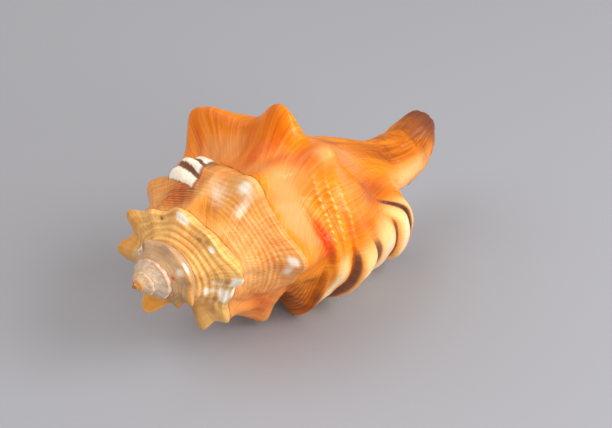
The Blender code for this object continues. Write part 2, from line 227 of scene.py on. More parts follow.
    def __post_init__(self) -> None:
        """Makes the splines from the tables."""
        turns, radii, depths = zip(*self.keel)
        self.keel_radius = Spline(turns, radii)
        self.keel_depth = Spline(turns, depths)
        self.inward_behind = Spline(self.wall_run, self.back_inward)
        self.down_behind = Spline(self.wall_run, self.back_down)
        self.inward_at_lip = Spline(self.wall_run, self.lip_inward)
        self.down_at_lip = Spline(self.wall_run, self.lip_down)
        depths, offsets, rises, radii = zip(*self.canal)
        self.canal_offset = Spline(depths, offsets)
        self.canal_rise = Spline(depths, rises)
        self.canal_radius = Spline(depths, radii)
        self.wall_end = float(self.wall_run[-1])
        canal_length = self.canal_end - self.canal_start
        self.run_end = self.canal_run + canal_length / self.canal_pitch

    def growth(self, turn: Array) -> Array:
        """Size of the whorl against the last one."""
        return self.keel_radius(turn) / self.keel[-1][1]

    def suture_run(self, turn: Array) -> Array:
        """Run below the keel at which the next whorl is laid on."""
        turns, runs = zip(*self.suture)
        return np.interp(turn, turns, runs) / self.growth(turn)

    def back(self, turn: Array) -> Array:
        """Degrees before azimuth 0 of the lip's whorl."""
        return -360 * turn + self.lip_azimuth

    def wall_base(self, turn: Array, run: Array) -> tuple[Array, Array]:
        """Radius and depth of the wall below the keel, with no relief.

        Args:
            turn: whorls from the lip, negative before it.
            run: distance below the keel at full growth, negative on the ramp.

        Returns:
            Radius and depth in millimetres.
        """
        run = np.minimum(run, self.wall_end)
        at_lip = ease(*self.lip_flare, turn)
        inward = (1 - at_lip) * self.inward_behind(run) + at_lip * self.inward_at_lip(run)
        down = (1 - at_lip) * self.down_behind(run) + at_lip * self.down_at_lip(run)
        grown = self.growth(turn)
        return self.keel_radius(turn) - grown * inward, self.keel_depth(turn) + grown * down

    def outward(self, turn: Array, run: Array) -> tuple[Array, Array]:
        """Unit normal of the wall in its meridian plane, as radial and depth parts.

        Args:
            turn: whorls from the lip, negative before it.
            run: distance below the keel at full growth, negative on the ramp.

        Returns:
            Radial and depth parts of the normal.
        """
        step = self.slope_step
        on_wall = np.clip(run, step, self.wall_end - step)
        r0, h0 = self.wall_base(turn, on_wall - step)
        r1, h1 = self.wall_base(turn, on_wall + step)
        length = np.hypot(r1 - r0, h1 - h0)
        tube = ease(*self.canal_blend, run)
        return (1 - tube) * (h1 - h0) / length + tube, (tube - 1) * (r1 - r0) / length

    def knob_push(self, turn: Array) -> tuple[Array, Array]:
        """How far the keel stands out of its even line, outward and towards the apex.

        Args:
            turn: whorls from the lip, negative before it.

        Returns:
            Push outward and push towards the apex, in millimetres.
        """
        back = self.back(turn)
        out = self.carina * self.growth(turn) * ease(*self.carina_start, back)
        up = np.zeros_like(back)
        for centre, height, lift, width in self.knobs:
            shape = hump((back - centre) / width)
            out = out + height * shape
            up = up + lift * shape
        return out, up

    def along(self, back: Array, run: Array) -> Array:
        """Run that a rib keeps along its length: behind the lip ribs draw in to the keel."""
        drawn = self.gather * ease(*self.gather_start, back) * ease(*self.gather_end, back)
        return run + drawn * (run - self.gather_run)

    def rib_profile(self, back: Array, run: Array) -> Array:
        """Rounded ribs, from 0 in the grooves to 1."""
        place = np.interp(self.along(back, run), self.grooves, np.arange(len(self.grooves)))
        return 1 - np.abs(2 * (place % 1) - 1) ** 4

    def lip_reach(self, back: Array, start: tuple) -> Array:
        """How strongly the thickening behind the lip, or its ribs, swell from their start."""
        return ease(*start, back) * (1 - self.lip_taper * ease(*self.lip_taper_start, back))

    def old_reach(self, back: Array) -> Array:
        """How strongly the earlier varices swell."""
        varices = self.earlier_varices
        return sum(share * hump((back - centre) / width) for centre, share, width in varices)

    def old_lip_reach(self, back: Array) -> Array:
        """Where the ribbed varix of the whorl before lies."""
        return hump((back - self.old_lip_back) / self.old_lip_half, 6)

    def old_lip_profile(self, back: Array, run: Array) -> Array:
        """Slanting ribs of the varix of the whorl before.

        Args:
            back: degrees before azimuth 0 of the lip's whorl.
            run: distance below the keel at full growth, negative on the ramp.

        Returns:
            Height of the ribs, 1 on a crest.
        """
        along = run - self.old_lip_slant * (back - self.old_lip_back)
        ribs = sum(hump((along - crest) / width, 4) for crest, width in self.old_lip_ribs)
        return self.old_lip_reach(back) * ribs

    def varix(self, turn: Array, run: Array) -> Array:
        """Height of the thickening behind the lip and at the earlier varices.

        Args:
            turn: whorls from the lip, negative before it.
            run: distance below the keel at full growth, negative on the ramp.

        Returns:
            Height in millimetres.
        """
        back = self.back(turn)
        hollow = np.zeros_like(back)
        for hollow_back, hollow_run, half_back, half_run, deep in self.hollows:
            shape = hump((back - hollow_back) / half_back) * hump((run - hollow_run) / half_run)
            hollow = hollow + deep * shape
        even = self.lip_reach(back, self.varix_start) + self.old_reach(back)
        even = even * self.varix_height * ease(*self.varix_top, run)
        ribs = self.lip_reach(back, self.lip_rib_start) * self.lip_rib_height
        ribs = ribs * self.rib_profile(back, run)
        ribs = ribs + self.old_rib_height * self.old_lip_profile(back, run)
        return (1 - ease(*self.varix_foot, run)) * (even + ribs) - hollow


@dataclass
class Relief:
    """Fine relief that grows on the coil: beaded cords, growth lines, riblets and unevenness."""

    coil: Coil
    cord_pitch: float = 1.5
    cord_shift: float = 0.3
    cord_height: float = 0.26
    cord_start: tuple = (352, 385)
    cord_end: tuple = (1180, 1320)
    cord_fading: float = 0.7
    cord_fade: tuple = (690, 730)
    fold_pitch: float = 3.1
    fold_height: float = 0.42
    fold_run: float = 0.4
    fold_back: float = 760.0
    fold_slant: float = 0.02
    fold_start: tuple = (700, 740)
    fold_end: tuple = (1120, 1000)
    bead_back: float = 66.0
    bead_half: float = 32.0
    # run, half width and height
    bead_lines: tuple = ((-6.5, 0.5, 0.55), (-3.7, 0.5, 0.5), (-0.2, 0.6, 0.4))
    bead_slant: float = 0.05
    bead_middle: float = 70.0
    # run, half width, depth, slant and the back its run is given at
    red_groove: tuple = (-9.3, 0.7, 0.7, -0.06, 60)
    red_groove_start: tuple = (96, 70)
    red_groove_end: tuple = (0, 40)
    wall_pitch: float = 2.3
    wall_height: float = 0.12
    wall_to_ramp: tuple = (2.0, -0.5)
    line_height: float = 0.11
    # height, pace and start
    line_waves: tuple = ((1.0, 0.46, 0.0), (0.8, 0.29, 1.3), (0.7, 0.6, 0.4))
    # share lost, and backs from which and by which it is lost
    line_fades: tuple = ((0.6, 372, 400), (0.7, 72, 40))
    riblets: int = 12
    riblet_height: float = 0.045
    riblet_start: tuple = (1180, 1340)
    uneven: float = 0.13
    # height, pace around, pace down and start
    uneven_waves: tuple = (
        (1.0, 0.11, 0.55, 0.0), (1.0, 0.063, -0.31, 1.7), (0.7, 0.23, 0.9, 4.0),
    )
    seam_share: float = 0.12

    def cord_wave(self, run: Array, pitch: float) -> Array:
        """Rounded ridges with narrow grooves, one in each pitch."""
        return np.abs(np.sin(math.pi * run / pitch)) ** 0.8

    def growth_line(self, back: Array, run: Array) -> Array:
        """Fine uneven lines where the lip once stood, bowed back on the ramp.

        Args:
            back: degrees before azimuth 0 of the lip's whorl.
            run: distance below the keel at full growth, negative on the ramp.

        Returns:
            Height, about 1 on the strongest lines.
        """
        bowed = back + 1.1 * run + 2.0 * np.sin(0.35 * run)
        lines = sum(high * np.sin(pace * bowed + start) for high, pace, start in self.line_waves)
        return lines * (0.6 + 0.4 * np.sin(0.07 * bowed + 2.0))

    def ramp_height(self, back: Array, run: Array) -> Array:
        """Cords of the older whorls, and the broad folds on the ramp of the fourth.

        Args:
            back: degrees before azimuth 0 of the lip's whorl.
            run: distance below the keel at full growth, negative on the ramp.

        Returns:
            Height in millimetres.
        """
        old = ease(*self.cord_start, back) * (1 - ease(*self.cord_end, back))
        patchy = 0.75 + 0.25 * np.sin(0.045 * back + 0.3 * run)
        cords = self.cord_wave(run - self.cord_shift, self.cord_pitch)
        faded = 1 - self.cord_fading * ease(*self.cord_fade, back)
        ramp = self.cord_height * old * cords * patchy * faded
        across = run - self.fold_run + self.fold_slant * (back - self.fold_back)
        folds = self.fold_height * (0.5 + 0.5 * np.cos(TAU * across / self.fold_pitch))
        return ramp + folds * ease(*self.fold_start, back) * ease(*self.fold_end, back)

    def lip_height(self, back: Array, run: Array) -> Array:
        """Beaded lines behind the lip, and the red groove above them.

        Args:
            back: degrees before azimuth 0 of the lip's whorl.
            run: distance below the keel at full growth, negative on the ramp.

        Returns:
            Height in millimetres.
        """
        near_lip = hump((back - self.bead_back) / self.bead_half, 4)
        height = np.zeros_like(back)
        for centre, width, high in self.bead_lines:
            at = centre + self.bead_slant * (back - self.bead_middle)
            height = height + near_lip * high * hump((run - at) / width)
        centre, width, deep, slant, middle = self.red_groove
        at = centre + slant * (back - middle)
        fold = ease(*self.red_groove_start, back) * ease(*self.red_groove_end, back)
        return height - fold * deep * hump((run - at) / width)

    def height(self, turn: Array, run: Array, share: Array) -> Array:
        """Height of the fine relief.

        Args:
            turn: whorls from the lip.
            run: distance below the keel at full growth, negative on the ramp.
            share: place on the ramp, 0 at the suture and 1 at the keel and below.

        Returns:
            Height above the even surface in millimetres.
        """
        back = self.coil.back(turn)
        grown = np.maximum(self.coil.growth(turn), 0.0)
        on_ramp = ease(*self.wall_to_ramp, run)
        ramp = self.ramp_height(back, run) + self.lip_height(back, run)
        wall = self.wall_height * self.cord_wave(run, self.wall_pitch)
        lines = self.line_height * self.growth_line(back, run)
        for share_lost, start, end in self.line_fades:
            lines = lines * (1 - share_lost * ease(start, end, back))
        riblet = self.riblet_height * self.coil.keel_radius(turn) * ease(*self.riblet_start, back)
        riblet = riblet * (0.5 + 0.5 * np.cos(self.riblets * np.radians(back))) * share
        drift = sum(
            high * np.sin(around * back + down * run + start)
            for high, around, down, start in self.uneven_waves
        )
        fine = (on_ramp * ramp + (1 - on_ramp) * wall + lines) * np.sqrt(grown)
        return ease(0.0, self.seam_share, share) * (fine + riblet + self.uneven * drift * grown)


@dataclass
class Surface:
    """Outer and inner faces of the shell as points in space."""

    coil: Coil
    relief: Relief
    tooth_height: float = 0.9
    tooth_half: float = 0.9
    tooth_turn: float = -0.045
    tooth_depth: float = 0.022
    tooth_shares: tuple = (0.28, 0.72)
    knob_foot: float = 7.5  # run over which a knob fades out below the keel
    knob_fall: float = 1.8
    knob_rise: float = 2.2
    keel_step: float = 0.02
    normal_step: float = 0.01
    ramp_turn: tuple = (0.65, 1)  # share over which relief turns to stand straight out
    wall_turn: tuple = (5, 0)
    inner_ramp_turn: tuple = (0.6, 1)
    inner_wall_turn: tuple = (6, 0)
    root_share: float = 0.4
    ramp_bow: float = 0.06
    lip_bow: float = 0.16
    lip_bow_start: tuple = (-0.25, 0)
    canal_tilt: float = 0.45
    # share by which the tube narrows, and turns from which and by which it does
    roll_in: tuple = ((0.45, -0.55, -1.0), (0.2, -1.0, -1.3))

    def sharp_wall(self, turn: Array, run: Array, relief: float) -> tuple[Array, Array]:
        """Outer face below the keel, before the keel is rounded.

        Args:
            turn: whorls from the lip, negative before it.
            run: distance below the keel at full growth, negative on the ramp.
            relief: share of the relief that is kept.

        Returns:
            Radius and depth in millimetres.
        """
        coil = self.coil
        radius, depth = coil.wall_base(turn, run)
        across, along = coil.outward(turn, run)
        at_keel = ease(*self.wall_turn, run)
        out, up = coil.knob_push(turn)
        fade = relief * hump(run / self.knob_foot, self.knob_fall)
        fine = self.relief.height(turn, run, np.ones_like(run))
        swell = relief * (coil.varix(turn, run) + fine)
        radius = radius + fade * out + swell * ((1 - at_keel) * across + at_keel)
        return radius, depth - fade * up + swell * (1 - at_keel) * along

    def sharp_ramp(
        self, turn: Array, share: Array, relief: float, foot: tuple[Array, Array]
    ) -> tuple[Array, Array, Array]:
        """Ramp up from its foot, before the keel is rounded, and the length of its slope.

        Args:
            turn: whorls from the lip, negative before it.
            share: place on the ramp, 0 at the suture and 1 at the keel.
            relief: share of the relief that is kept.
            foot: radius and depth of the ramp's foot.

        Returns:
            Radius, depth and the length of the slope, in millimetres.
        """
        coil = self.coil
        r0, h0 = foot
        dr, dh = coil.keel_radius(turn) - r0, coil.keel_depth(turn) - h0
        length = np.hypot(dr, dh) + 1e-9
        bow = self.lip_bow * ease(*self.lip_bow_start, turn) - self.ramp_bow
        bow = bow * np.sin(math.pi * share)
        out, up = coil.knob_push(turn)
        fade = relief * share**self.knob_rise
        run = (share - 1) * length / coil.growth(turn)
        corner = coil.corner_swell * ease(*coil.corner_start, coil.back(turn))
        corner = corner * hump((share - coil.corner_place) / coil.corner_half)
        corner = corner * ease(0, 0.15, share) * (1 - ease(0.8, 1, share))
        fine = self.relief.height(turn, run, share)
        swell = relief * (coil.varix(turn, run) * ease(0, 0.3, share) + corner + fine)
        at_keel = ease(*self.ramp_turn, share)
        radius = r0 + dr * share + bow * dh + fade * out
        depth = h0 + dh * share - bow * dr - fade * up
        radius = radius + swell * ((1 - at_keel) * dh / length + at_keel)
        return radius, depth - swell * (1 - at_keel) * dr / length, length

    def rounding(self, turn: Array, distance: Array, relief: float) -> tuple[Array, Array]:
        """Shift, as radius and depth, that rounds the keel this far from it.

        Args:
            turn: whorls from the lip, negative before it.
            distance: distance from the keel along the surface.
            relief: share of the relief that is kept.

        Returns:
            Shift of the radius and of the depth.
        """
        step = self.keel_step
        here = 0 * turn
        keel = self.sharp_wall(turn, here, relief)
        below = self.sharp_wall(turn, here + step, relief)
        foot = self.sharp_wall(turn - 1, self.coil.suture_run(turn - 1), relief)
        above = self.sharp_ramp(turn, here + 1 - step / 10, relief, foot)
        down = np.hypot(below[0] - keel[0], below[1] - keel[1])
        rise = np.hypot(keel[0] - above[0], keel[1] - above[1])
        reach = self.coil.keel_rounding * self.coil.growth(turn)
        shift = np.maximum(reach - distance, 0) ** 2 / (4 * reach)
        radial = (below[0] - keel[0]) / down - (keel[0] - above[0]) / rise
        axial = (below[1] - keel[1]) / down - (keel[1] - above[1]) / rise
        return shift * radial, shift * axial

    def wall(self, turn: Array, run: Array, relief: float = 1.0) -> tuple[Array, Array]:
        """Radius and depth of the outer face below the keel.

        Args:
            turn: whorls from the lip, negative before it.
            run: distance below the keel at full growth, negative on the ramp.
            relief: share of the relief that is kept.

        Returns:
            Radius and depth in millimetres.
        """
        radius, depth = self.sharp_wall(turn, run, relief)
        inward, down = self.rounding(turn, run * self.coil.growth(turn), relief)
        return radius + inward, depth + down

    def ramp(self, turn: Array, share: Array, relief: float = 1.0) -> tuple[Array, Array, Array]:
        """Radius and depth of the ramp, and its run from the keel, which is negative.

        Args:
            turn: whorls from the lip, negative before it.
            share: place on the ramp, 0 at the suture and 1 at the keel.
            relief: share of the relief that is kept.

        Returns:
            Radius and depth in millimetres, and the run.
        """
        foot = self.wall(turn - 1, self.coil.suture_run(turn - 1))
        radius, depth, length = self.sharp_ramp(turn, share, relief, foot)
        inward, down = self.rounding(turn, (1 - share) * length, relief)
        return radius + inward, depth + down, (share - 1) * length / self.coil.growth(turn)

    def in_space(self, turn: Array, station: Array, radius: Array, depth: Array) -> Array:
        """Points in the shell's axes, with the foot of the wall drawn into the canal.

        Args:
            turn: whorls from the lip, negative before it.
            station: place across the whorl, -1 at the suture and 0 at the keel.
            radius: distance from the shell's axis.
            depth: distance below the apex.

        Returns:
            Points in millimetres.
        """
        coil = self.coil
        azimuth = -TAU * turn + math.radians(coil.lip_azimuth)
        blend = ease(*coil.canal_blend, station)
        first = coil.canal[0][0]
        canal = coil.canal_start + (station - coil.canal_run) * coil.canal_pitch
        canal = np.clip(canal, first, coil.canal_end)
        up = math.radians(coil.up_azimuth)
        roll = 1 - sum(share * ease(start, end, turn) for share, start, end in self.roll_in)
        tube = coil.canal_radius(canal) * roll + (radius - coil.wall_base(turn, station)[0])
        tilt = self.canal_tilt * coil.canal_rise.slope(canal) * tube * np.cos(azimuth - up)
        rise = coil.canal_rise(canal)
        x = tube * np.cos(azimuth) + coil.canal_offset(canal) + rise * math.cos(up)
        y = tube * np.sin(azimuth) + rise * math.sin(up)
        x = (1 - blend) * radius * np.cos(azimuth) + blend * x
        y = (1 - blend) * radius * np.sin(azimuth) + blend * y
        z = -((1 - blend) * depth + blend * (canal - tilt))
        return np.stack([x, y, z], axis=-1)

    def joined(self, turn: Array, station: Array, ramp: tuple, wall: tuple) -> Array:
        """Points of the ramp above the keel and of the wall below it."""
        radius, depth = (np.where(station < 0, *pair) for pair in zip(ramp, wall))
        return self.in_space(turn, station, radius, depth)

    def outer(self, turn: Array, station: Array) -> Array:
        """Outer face: stations from -1 at the suture to the end of the canal.

        Args:
            turn: whorls from the lip, negative before it.
            station: place across the whorl, -1 at the suture and 0 at the keel.

        Returns:
            Points in millimetres.
        """
        r_ramp, h_ramp, _ = self.ramp(turn, np.clip(1 + station, 0, 1))
        r_wall, h_wall = self.wall(turn, np.maximum(station, 0))
        return self.joined(turn, station, (r_ramp, h_ramp), (r_wall, h_wall))

    def run_of(self, turn: Array, station: Array) -> Array:
        """Distance below the keel at full growth, negative on the ramp."""
        run = self.ramp(turn, np.clip(1 + station, 0, 1))[2]
        return np.where(station < 0, run, station)

    def parietal_run(self, turn: Array) -> Array:
        """Run at which the roof of the hollow meets the whorl before."""
        return self.coil.suture_run(turn) + self.coil.thickness / self.coil.growth(turn)

    def teeth(self, turn: Array, run: Array) -> Array:
        """Height of the paired teeth inside the outer lip.

        Args:
            turn: whorls from the lip, negative before it.
            run: distance below the keel at full growth, negative on the ramp.

        Returns:
            Height in millimetres.
        """
        pairs = 0.0
        grooves = self.coil.grooves[1:]
        for low, high in zip(grooves, grooves[1:]):
            for side in self.tooth_shares:
                pairs = pairs + hump((run - low - side * (high - low)) / self.tooth_half)
        return self.tooth_height * pairs * hump((turn - self.tooth_turn) / self.tooth_depth)

    def inner(self, turn: Array, station: Array) -> Array:
        """Inner face of the last whorl, a shell's thickness inside the outer face.

        Args:
            turn: whorls from the lip, negative before it.
            station: place across the whorl, -1 at the suture and 0 at the keel.

        Returns:
            Points in millimetres.
        """
        coil = self.coil
        share = np.clip(1 + station, 0, 1)
        step = self.normal_step
        r0, h0, _ = self.ramp(turn, np.maximum(share - step, 0), 0)
        r1, h1, _ = self.ramp(turn, np.minimum(share + step, 1), 0)
        length = np.hypot(r1 - r0, h1 - h0) + 1e-9
        radius, depth, _ = self.ramp(turn, share, coil.inner_relief)
        at_keel = ease(*self.inner_ramp_turn, share)
        r_ramp = radius - coil.thickness * ((1 - at_keel) * (h1 - h0) / length + at_keel)
        h_ramp = depth + coil.thickness * (1 - at_keel) * (r1 - r0) / length
        run = np.maximum(station, 0)
        across, along = coil.outward(turn, run)
        radius, depth = self.wall(turn, run, coil.inner_relief)
        at_keel = ease(*self.inner_wall_turn, run)
        depth_in = coil.thickness + self.teeth(turn, run)
        r_wall = radius - depth_in * ((1 - at_keel) * across + at_keel)
        h_wall = depth - depth_in * (1 - at_keel) * along
        points = self.joined(turn, station, (r_ramp, h_ramp), (r_wall, h_wall))
        root = self.outer(turn - 1, self.parietal_run(turn - 1))
        free = ease(0, self.root_share, share)[..., None]
        return (1 - free) * root + free * points


# Attributes that carry the marks, and the three pigments or patterns that each one holds; some
# white and cream marks are painted highlights.
PIGMENTS = {
    "pale": ("white", "cream", "violet"),
    "dark": ("brown", "chocolate", "red"),
    "tint": ("sand", "ochre", "lined"),
    "fine": ("beaded", "corded", "deep"),
}


class Side(Enum):
    """Which side of the shell a face is on, as the finish reads it."""

    OUTSIDE = 0.0
    INSIDE = 1.0


@dataclass(frozen=True)
class Mark:
    """One soft-edged mark on the surface, in the shell's own coordinates.

    back is in degrees before the lip's azimuth, run in millimetres below the keel at full
    growth. slant moves the mark's run by that much for each degree of back.
    """

    back: float
    run: float
    half_back: float
    half_run: float
    strength: float = 1.0
    slant: float = 0.0
    power: float = 3.0

    def cover(self, back: Array, run: Array) -> Array:
        """How much the mark covers each place, from 0 to its strength.

        Args:
            back: degrees before azimuth 0 of the lip's whorl.
            run: distance below the keel at full growth, negative on the ramp.

        Returns:
            Cover of each place.
        """
        along = (back - self.back) / self.half_back
        across = (run - self.run - self.slant * (back - self.back)) / self.half_run
        return self.strength * np.exp(-np.abs(along) ** self.power - np.abs(across) ** self.power)


def marks(*rows: tuple) -> tuple[Mark, ...]:
    """Marks from rows of numbers, in the order of a mark's fields."""
    return tuple(Mark(*row) for row in rows)


@dataclass(frozen=True)
class Markings:
    """Marks of each pigment, some of them painted highlights, and the paint of the ribs with a
    painted highlight on their crests.
    """

    # Marks on and around the knobs at back 419 and 472 (back 411 to 488) and on the knobs near
    # back 808 and 852 are painted highlights; the others are the shell's own white.
    white: tuple = marks(
        (473, -2.6, 3.5, 1.8, 1.0, 0.0, 2.0), (466, -5.5, 3, 4.0, 0.5, 0.25, 2.0),
        (420, -2.2, 3, 1.3, 1.0, 0.0, 2.0), (411, -3.4, 6, 1.0, 0.6),
        (488, -6.5, 14, 4.0, 0.42, 0.2, 2.0), (462, -8.0, 3, 3.0, 0.35, 0.3, 2.0),
        (852, -2.2, 8, 1.7, 0.9), (808, -2.6, 4, 1.3, 0.95), (772, -0.7, 7, 2.2, 1.0),
        (754, 2.4, 9, 2.6, 1.0), (742, -2.2, 8, 2.0, 0.95), (766, -6.5, 5, 3.0, 0.5),
        (750, -10.9, 6, 1.6, 0.9, 0.0, 2.0), (752, -2.9, 7, 2.4, 0.9, 0.0, 2.0),
        (752, -7.5, 5, 3.0, 0.45, 0.0, 2.0), (1160, 2.0, 10, 2.0, 0.8),
        (1274, -2.0, 12, 4.0, 0.7), (1155, -5.0, 8, 3.0, 0.5), (1330, 0.0, 30, 3.0, 0.6),
    )
    # Marks on the ramp at back 700 to 900 and on the knobs at back 104 and 474 are painted
    # highlights; the others, such as the canal's pale flank, are the shell's own cream.
    cream: tuple = marks(
        (700, -3.0, 14, 4.0, 0.5), (900, -1.0, 12, 2.4, 0.5), (870, -6.0, 10, 3.0, 0.35),
        (50, 54.0, 24, 12.0, 0.75), (474, -1.0, 12, 3.5, 0.6, 0.0, 2.0),
        (500, -7.0, 6, 5.0, 0.4), (414, -15.0, 20, 3.2, 0.5, 0.0, 2.0),
        (104, -1.0, 5, 2.0, 0.55, 0.0, 2.0), (750, -13.0, 30, 3.0, 0.35, 0.0, 2.0),
    )
    brown: tuple = marks(
        (8, -13.0, 26, 5.5, 0.3), (-4, -11.6, 22, 3.6, 0.45), (480, -13.5, 9, 3.5, 0.45),
        (10, -9.0, 15, 2.6, 0.3, 0.0, 2.0), (70, 15.0, 14, 5.5, 0.6, 0.0, 2.0),
        (60, 24.0, 9, 5.0, 0.55, -0.2, 2.0), (486, -12.0, 7, 5.0, 0.35, 0.2),
        (468, -9.0, 3, 4.0, 0.3, 0.2), (100, 72.0, 30, 8.0, 0.85),
        (66, 5.0, 12, 1.2, 0.35, 0.0, 2.0), (128, 25.0, 9, 5.0, 0.65, 0.0, 2.0),
        (154, -5.0, 3, 4.0, 0.3), (778, 1.5, 4, 1.6, 0.8), (737, -6.2, 5, 1.7, 0.6, 0.0, 2.0),
        (772, -3.2, 3, 1.5, 0.6, 0.0, 2.0), (1068, -0.6, 8, 1.6, 0.5, 0.0, 2.0),
        (762, 0.6, 4, 1.3, 0.8), (745, 0.8, 4, 1.2, 0.7), (816, -2.3, 3, 0.9, 0.95),
        (824, -4.2, 3, 0.9, 0.95), (108, 46.0, 24, 15.0, 0.9), (120, 67.0, 80, 3.0, 0.6),
        (112, 59.0, 40, 3.0, 0.5), (150, 60.0, 24, 14.0, 0.4), (388, -12.5, 9, 4.0, 0.45),
        (520, -10.5, 13, 5.0, 0.5), (504, -8.0, 2, 7.0, 0.6, 0.2),
    )
    chocolate: tuple = marks(
        (27, -12.6, 3, 2.2, 0.5), (8, -8.0, 9, 1.0, 0.6), (-14, -13.0, 4, 3.0, 0.5),
        (-4, -15.0, 7, 3.0, 0.5), (510, 4.7, 4, 5.0, 0.7), (882, -3.1, 2.5, 0.8, 0.9),
        (1258, -2.0, 4, 4.0, 0.6), (1276, -3.5, 5, 1.0, 0.7),
    )
    red: tuple = marks(
        (66, -8.9, 10, 1.6, 0.85, -0.05), (526, -10.0, 15, 5.5, 0.5),
        (55, -8.9, 8, 1.6, 0.8, -0.1), (61, -9.8, 9, 1.3, 0.95, -0.06),
        (64, 21.0, 13, 8.0, 0.6, -0.2, 2.0), (58, -11.5, 10, 2.5, 0.5),
        (70, -5.1, 16, 0.6, 0.55), (68, -1.6, 16, 0.7, 0.5), (58, 1.0, 12, 2.5, 0.5),
        (133, -10.0, 6, 5.0, 0.65), (146, -6.0, 5, 5.0, 0.4), (108, -4.0, 5, 4.0, 0.6),
        (118, -9.0, 4, 4.0, 0.4), (134, -2.0, 4, 3.0, 0.25), (188, -3.5, 5, 4.0, 0.25),
        (160, -2.0, 22, 2.2, 0.2), (58, 7.0, 8, 2.4, 0.25), (51, 8.8, 6, 1.6, 0.4),
        (58, -9.8, 8, 1.2, 0.7, -0.07), (126, -5.0, 4, 4.0, 0.55), (136, -0.5, 3, 2.2, 0.25),
        (6, -9.0, 14, 2.6, 0.35), (190, -6.0, 2.5, 4.0, 0.45), (176, -0.8, 10, 1.8, 0.3),
        (358, -4.5, 14, 4.0, 0.45), (372, -9.0, 8, 3.0, 0.4), (1146, -11.3, 6, 1.4, 0.9),
        (1530, -1.0, 60, 1.5, 0.5),
    )
    violet: tuple = marks(
        (122, 79.0, 120, 7.0, 1.0), (130, 70.0, 30, 5.0, 0.6),
    )
    sand: tuple = marks(
        (88, -13.6, 26, 3.8, 0.85), (108, -9.0, 16, 4.5, 0.6), (96, 22.0, 20, 7.0, 0.75),
        (172, -9.0, 26, 4.0, 0.7), (110, -14.0, 40, 3.0, 0.5), (90, 4.0, 18, 3.0, 0.35),
        (52, 58.0, 26, 12.0, 0.6),
    )
    ochre: tuple = marks(
        (478, -11.5, 14, 5.5, 0.6, 0.1, 2.0), (494, -9.5, 4, 8.0, 0.7, 0.2),
        (484, -10.0, 3.5, 7.0, 0.8, 0.2), (474, -9.0, 3, 7.0, 0.7, 0.2),
        (460, -3.5, 10, 1.4, 0.6), (1022, -4.2, 24, 6.0, 0.8), (945, 0.0, 34, 4.5, 0.6),
        (700, -8.0, 26, 5.0, 0.5), (1100, 0.0, 60, 2.5, 0.6),
    )
    lined: tuple = marks(
        (6, -12.0, 26, 5.0, 0.7), (524, -10.0, 22, 6.5, 0.9), (780, -5.0, 60, 5.0, 0.2),
    )
    beaded: tuple = marks(
        (76, -6.2, 20, 0.45, 0.8, 0.05, 4.0), (74, -3.4, 18, 0.45, 0.8, 0.04, 4.0),
        (74, -0.2, 14, 0.45, 0.5, 0.02, 4.0),
    )
    corded: tuple = marks(
        (428, -9.5, 42, 6.5, 1.0, 0.0, 4.0), (840, -6.0, 110, 6.0, 0.25, 0.0, 4.0),
    )
    deep: tuple = marks(
        (245, -2.0, 95, 5.5, 0.3), (150, -8.0, 26, 7.0, 0.5), (365, -6.0, 18, 8.0, 0.6),
        (95, 3.0, 30, 10.0, 0.4), (75, 30.0, 40, 8.0, 0.35), (116, -4.0, 14, 5.0, 0.55),
        (112, 50.0, 30, 16.0, 0.7),
    )
    # run of a rib's crest, and half the width of its paint
    rib_paint: tuple = (
        (-4.9, 1.8), (4.0, 3.9), (15.0, 5.6), (24.8, 2.9), (31.4, 2.3), (38.2, 1.6),
    )
    paint_places: tuple = (-9.0, -2.0, 6.0, 14.0, 24.0, 32.0, 40.0)
    paint_starts: tuple = (46.0, 46.0, 46.0, 48.0, 50.0, 46.0, 44.0)
    paint_fade: float = 7.0
    # White cores on the crests of the ribs behind the lip, a painted highlight.
    crest_highlight: float = 0.35
    crest_highlight_power: int = 6
    crest_highlight_start: tuple = (50, 30)
    edge_deep: float = 2.4

    def marked(self, name: str, back: Array, run: Array) -> Array:
        """Joint cover of one pigment's marks, from 0 to 1.

        Args:
            name: the pigment.
            back: degrees before azimuth 0 of the lip's whorl.
            run: distance below the keel at full growth, negative on the ramp.

        Returns:
            Cover of each place.
        """
        clear = np.ones_like(back)
        for mark in getattr(self, name):
            clear = clear * (1 - mark.cover(back, run))
        return 1 - clear

    def lip_paint(self, coil: Coil, back: Array, run: Array) -> Array:
        """Cream of the ribs behind the lip.

        Args:
            coil: law of growth, which tells where the ribs lie.
            back: degrees before azimuth 0 of the lip's whorl.
            run: distance below the keel at full growth, negative on the ramp.

        Returns:
            Cover of each place.
        """
        along = coil.along(back, run)
        crests = sum(hump((along - crest) / half, 4) for crest, half in self.rib_paint)
        left = np.interp(along, self.paint_places, self.paint_starts)
        return np.clip(crests, 0, 1) * ease(left + self.paint_fade, left - self.paint_fade, back)

    def cover(self, coil: Coil, back: Array, run: Array) -> dict[str, Array]:
        """Cover of every pigment, painted highlights included.

        Args:
            coil: law of growth, which tells where the ribs lie.
            back: degrees before azimuth 0 of the lip's whorl.
            run: distance below the keel at full growth.

        Returns:
            Cover from 0 to 1, by pigment.
        """
        names = [name for group in PIGMENTS.values() for name in group]
        covers = {name: self.marked(name, back, run) for name in names}
        cream = self.lip_paint(coil, back, run)
        covers["cream"] = np.maximum(covers["cream"], cream)
        # Painted highlight: white on the crests of the lip's ribs, joined to the white marks.
        crest_highlight = self.crest_highlight * cream**self.crest_highlight_power * ease(*self.crest_highlight_start, back)
        covers["white"] = np.maximum(covers["white"], crest_highlight)
        covers["deep"] = np.clip(covers["deep"] + self.edge_deep * cream * (1 - cream), 0, 1)
        return covers


def make_surface() -> Surface:
    """The surface with its coil and fine relief."""
    coil = Coil()
    return Surface(coil, Relief(coil))


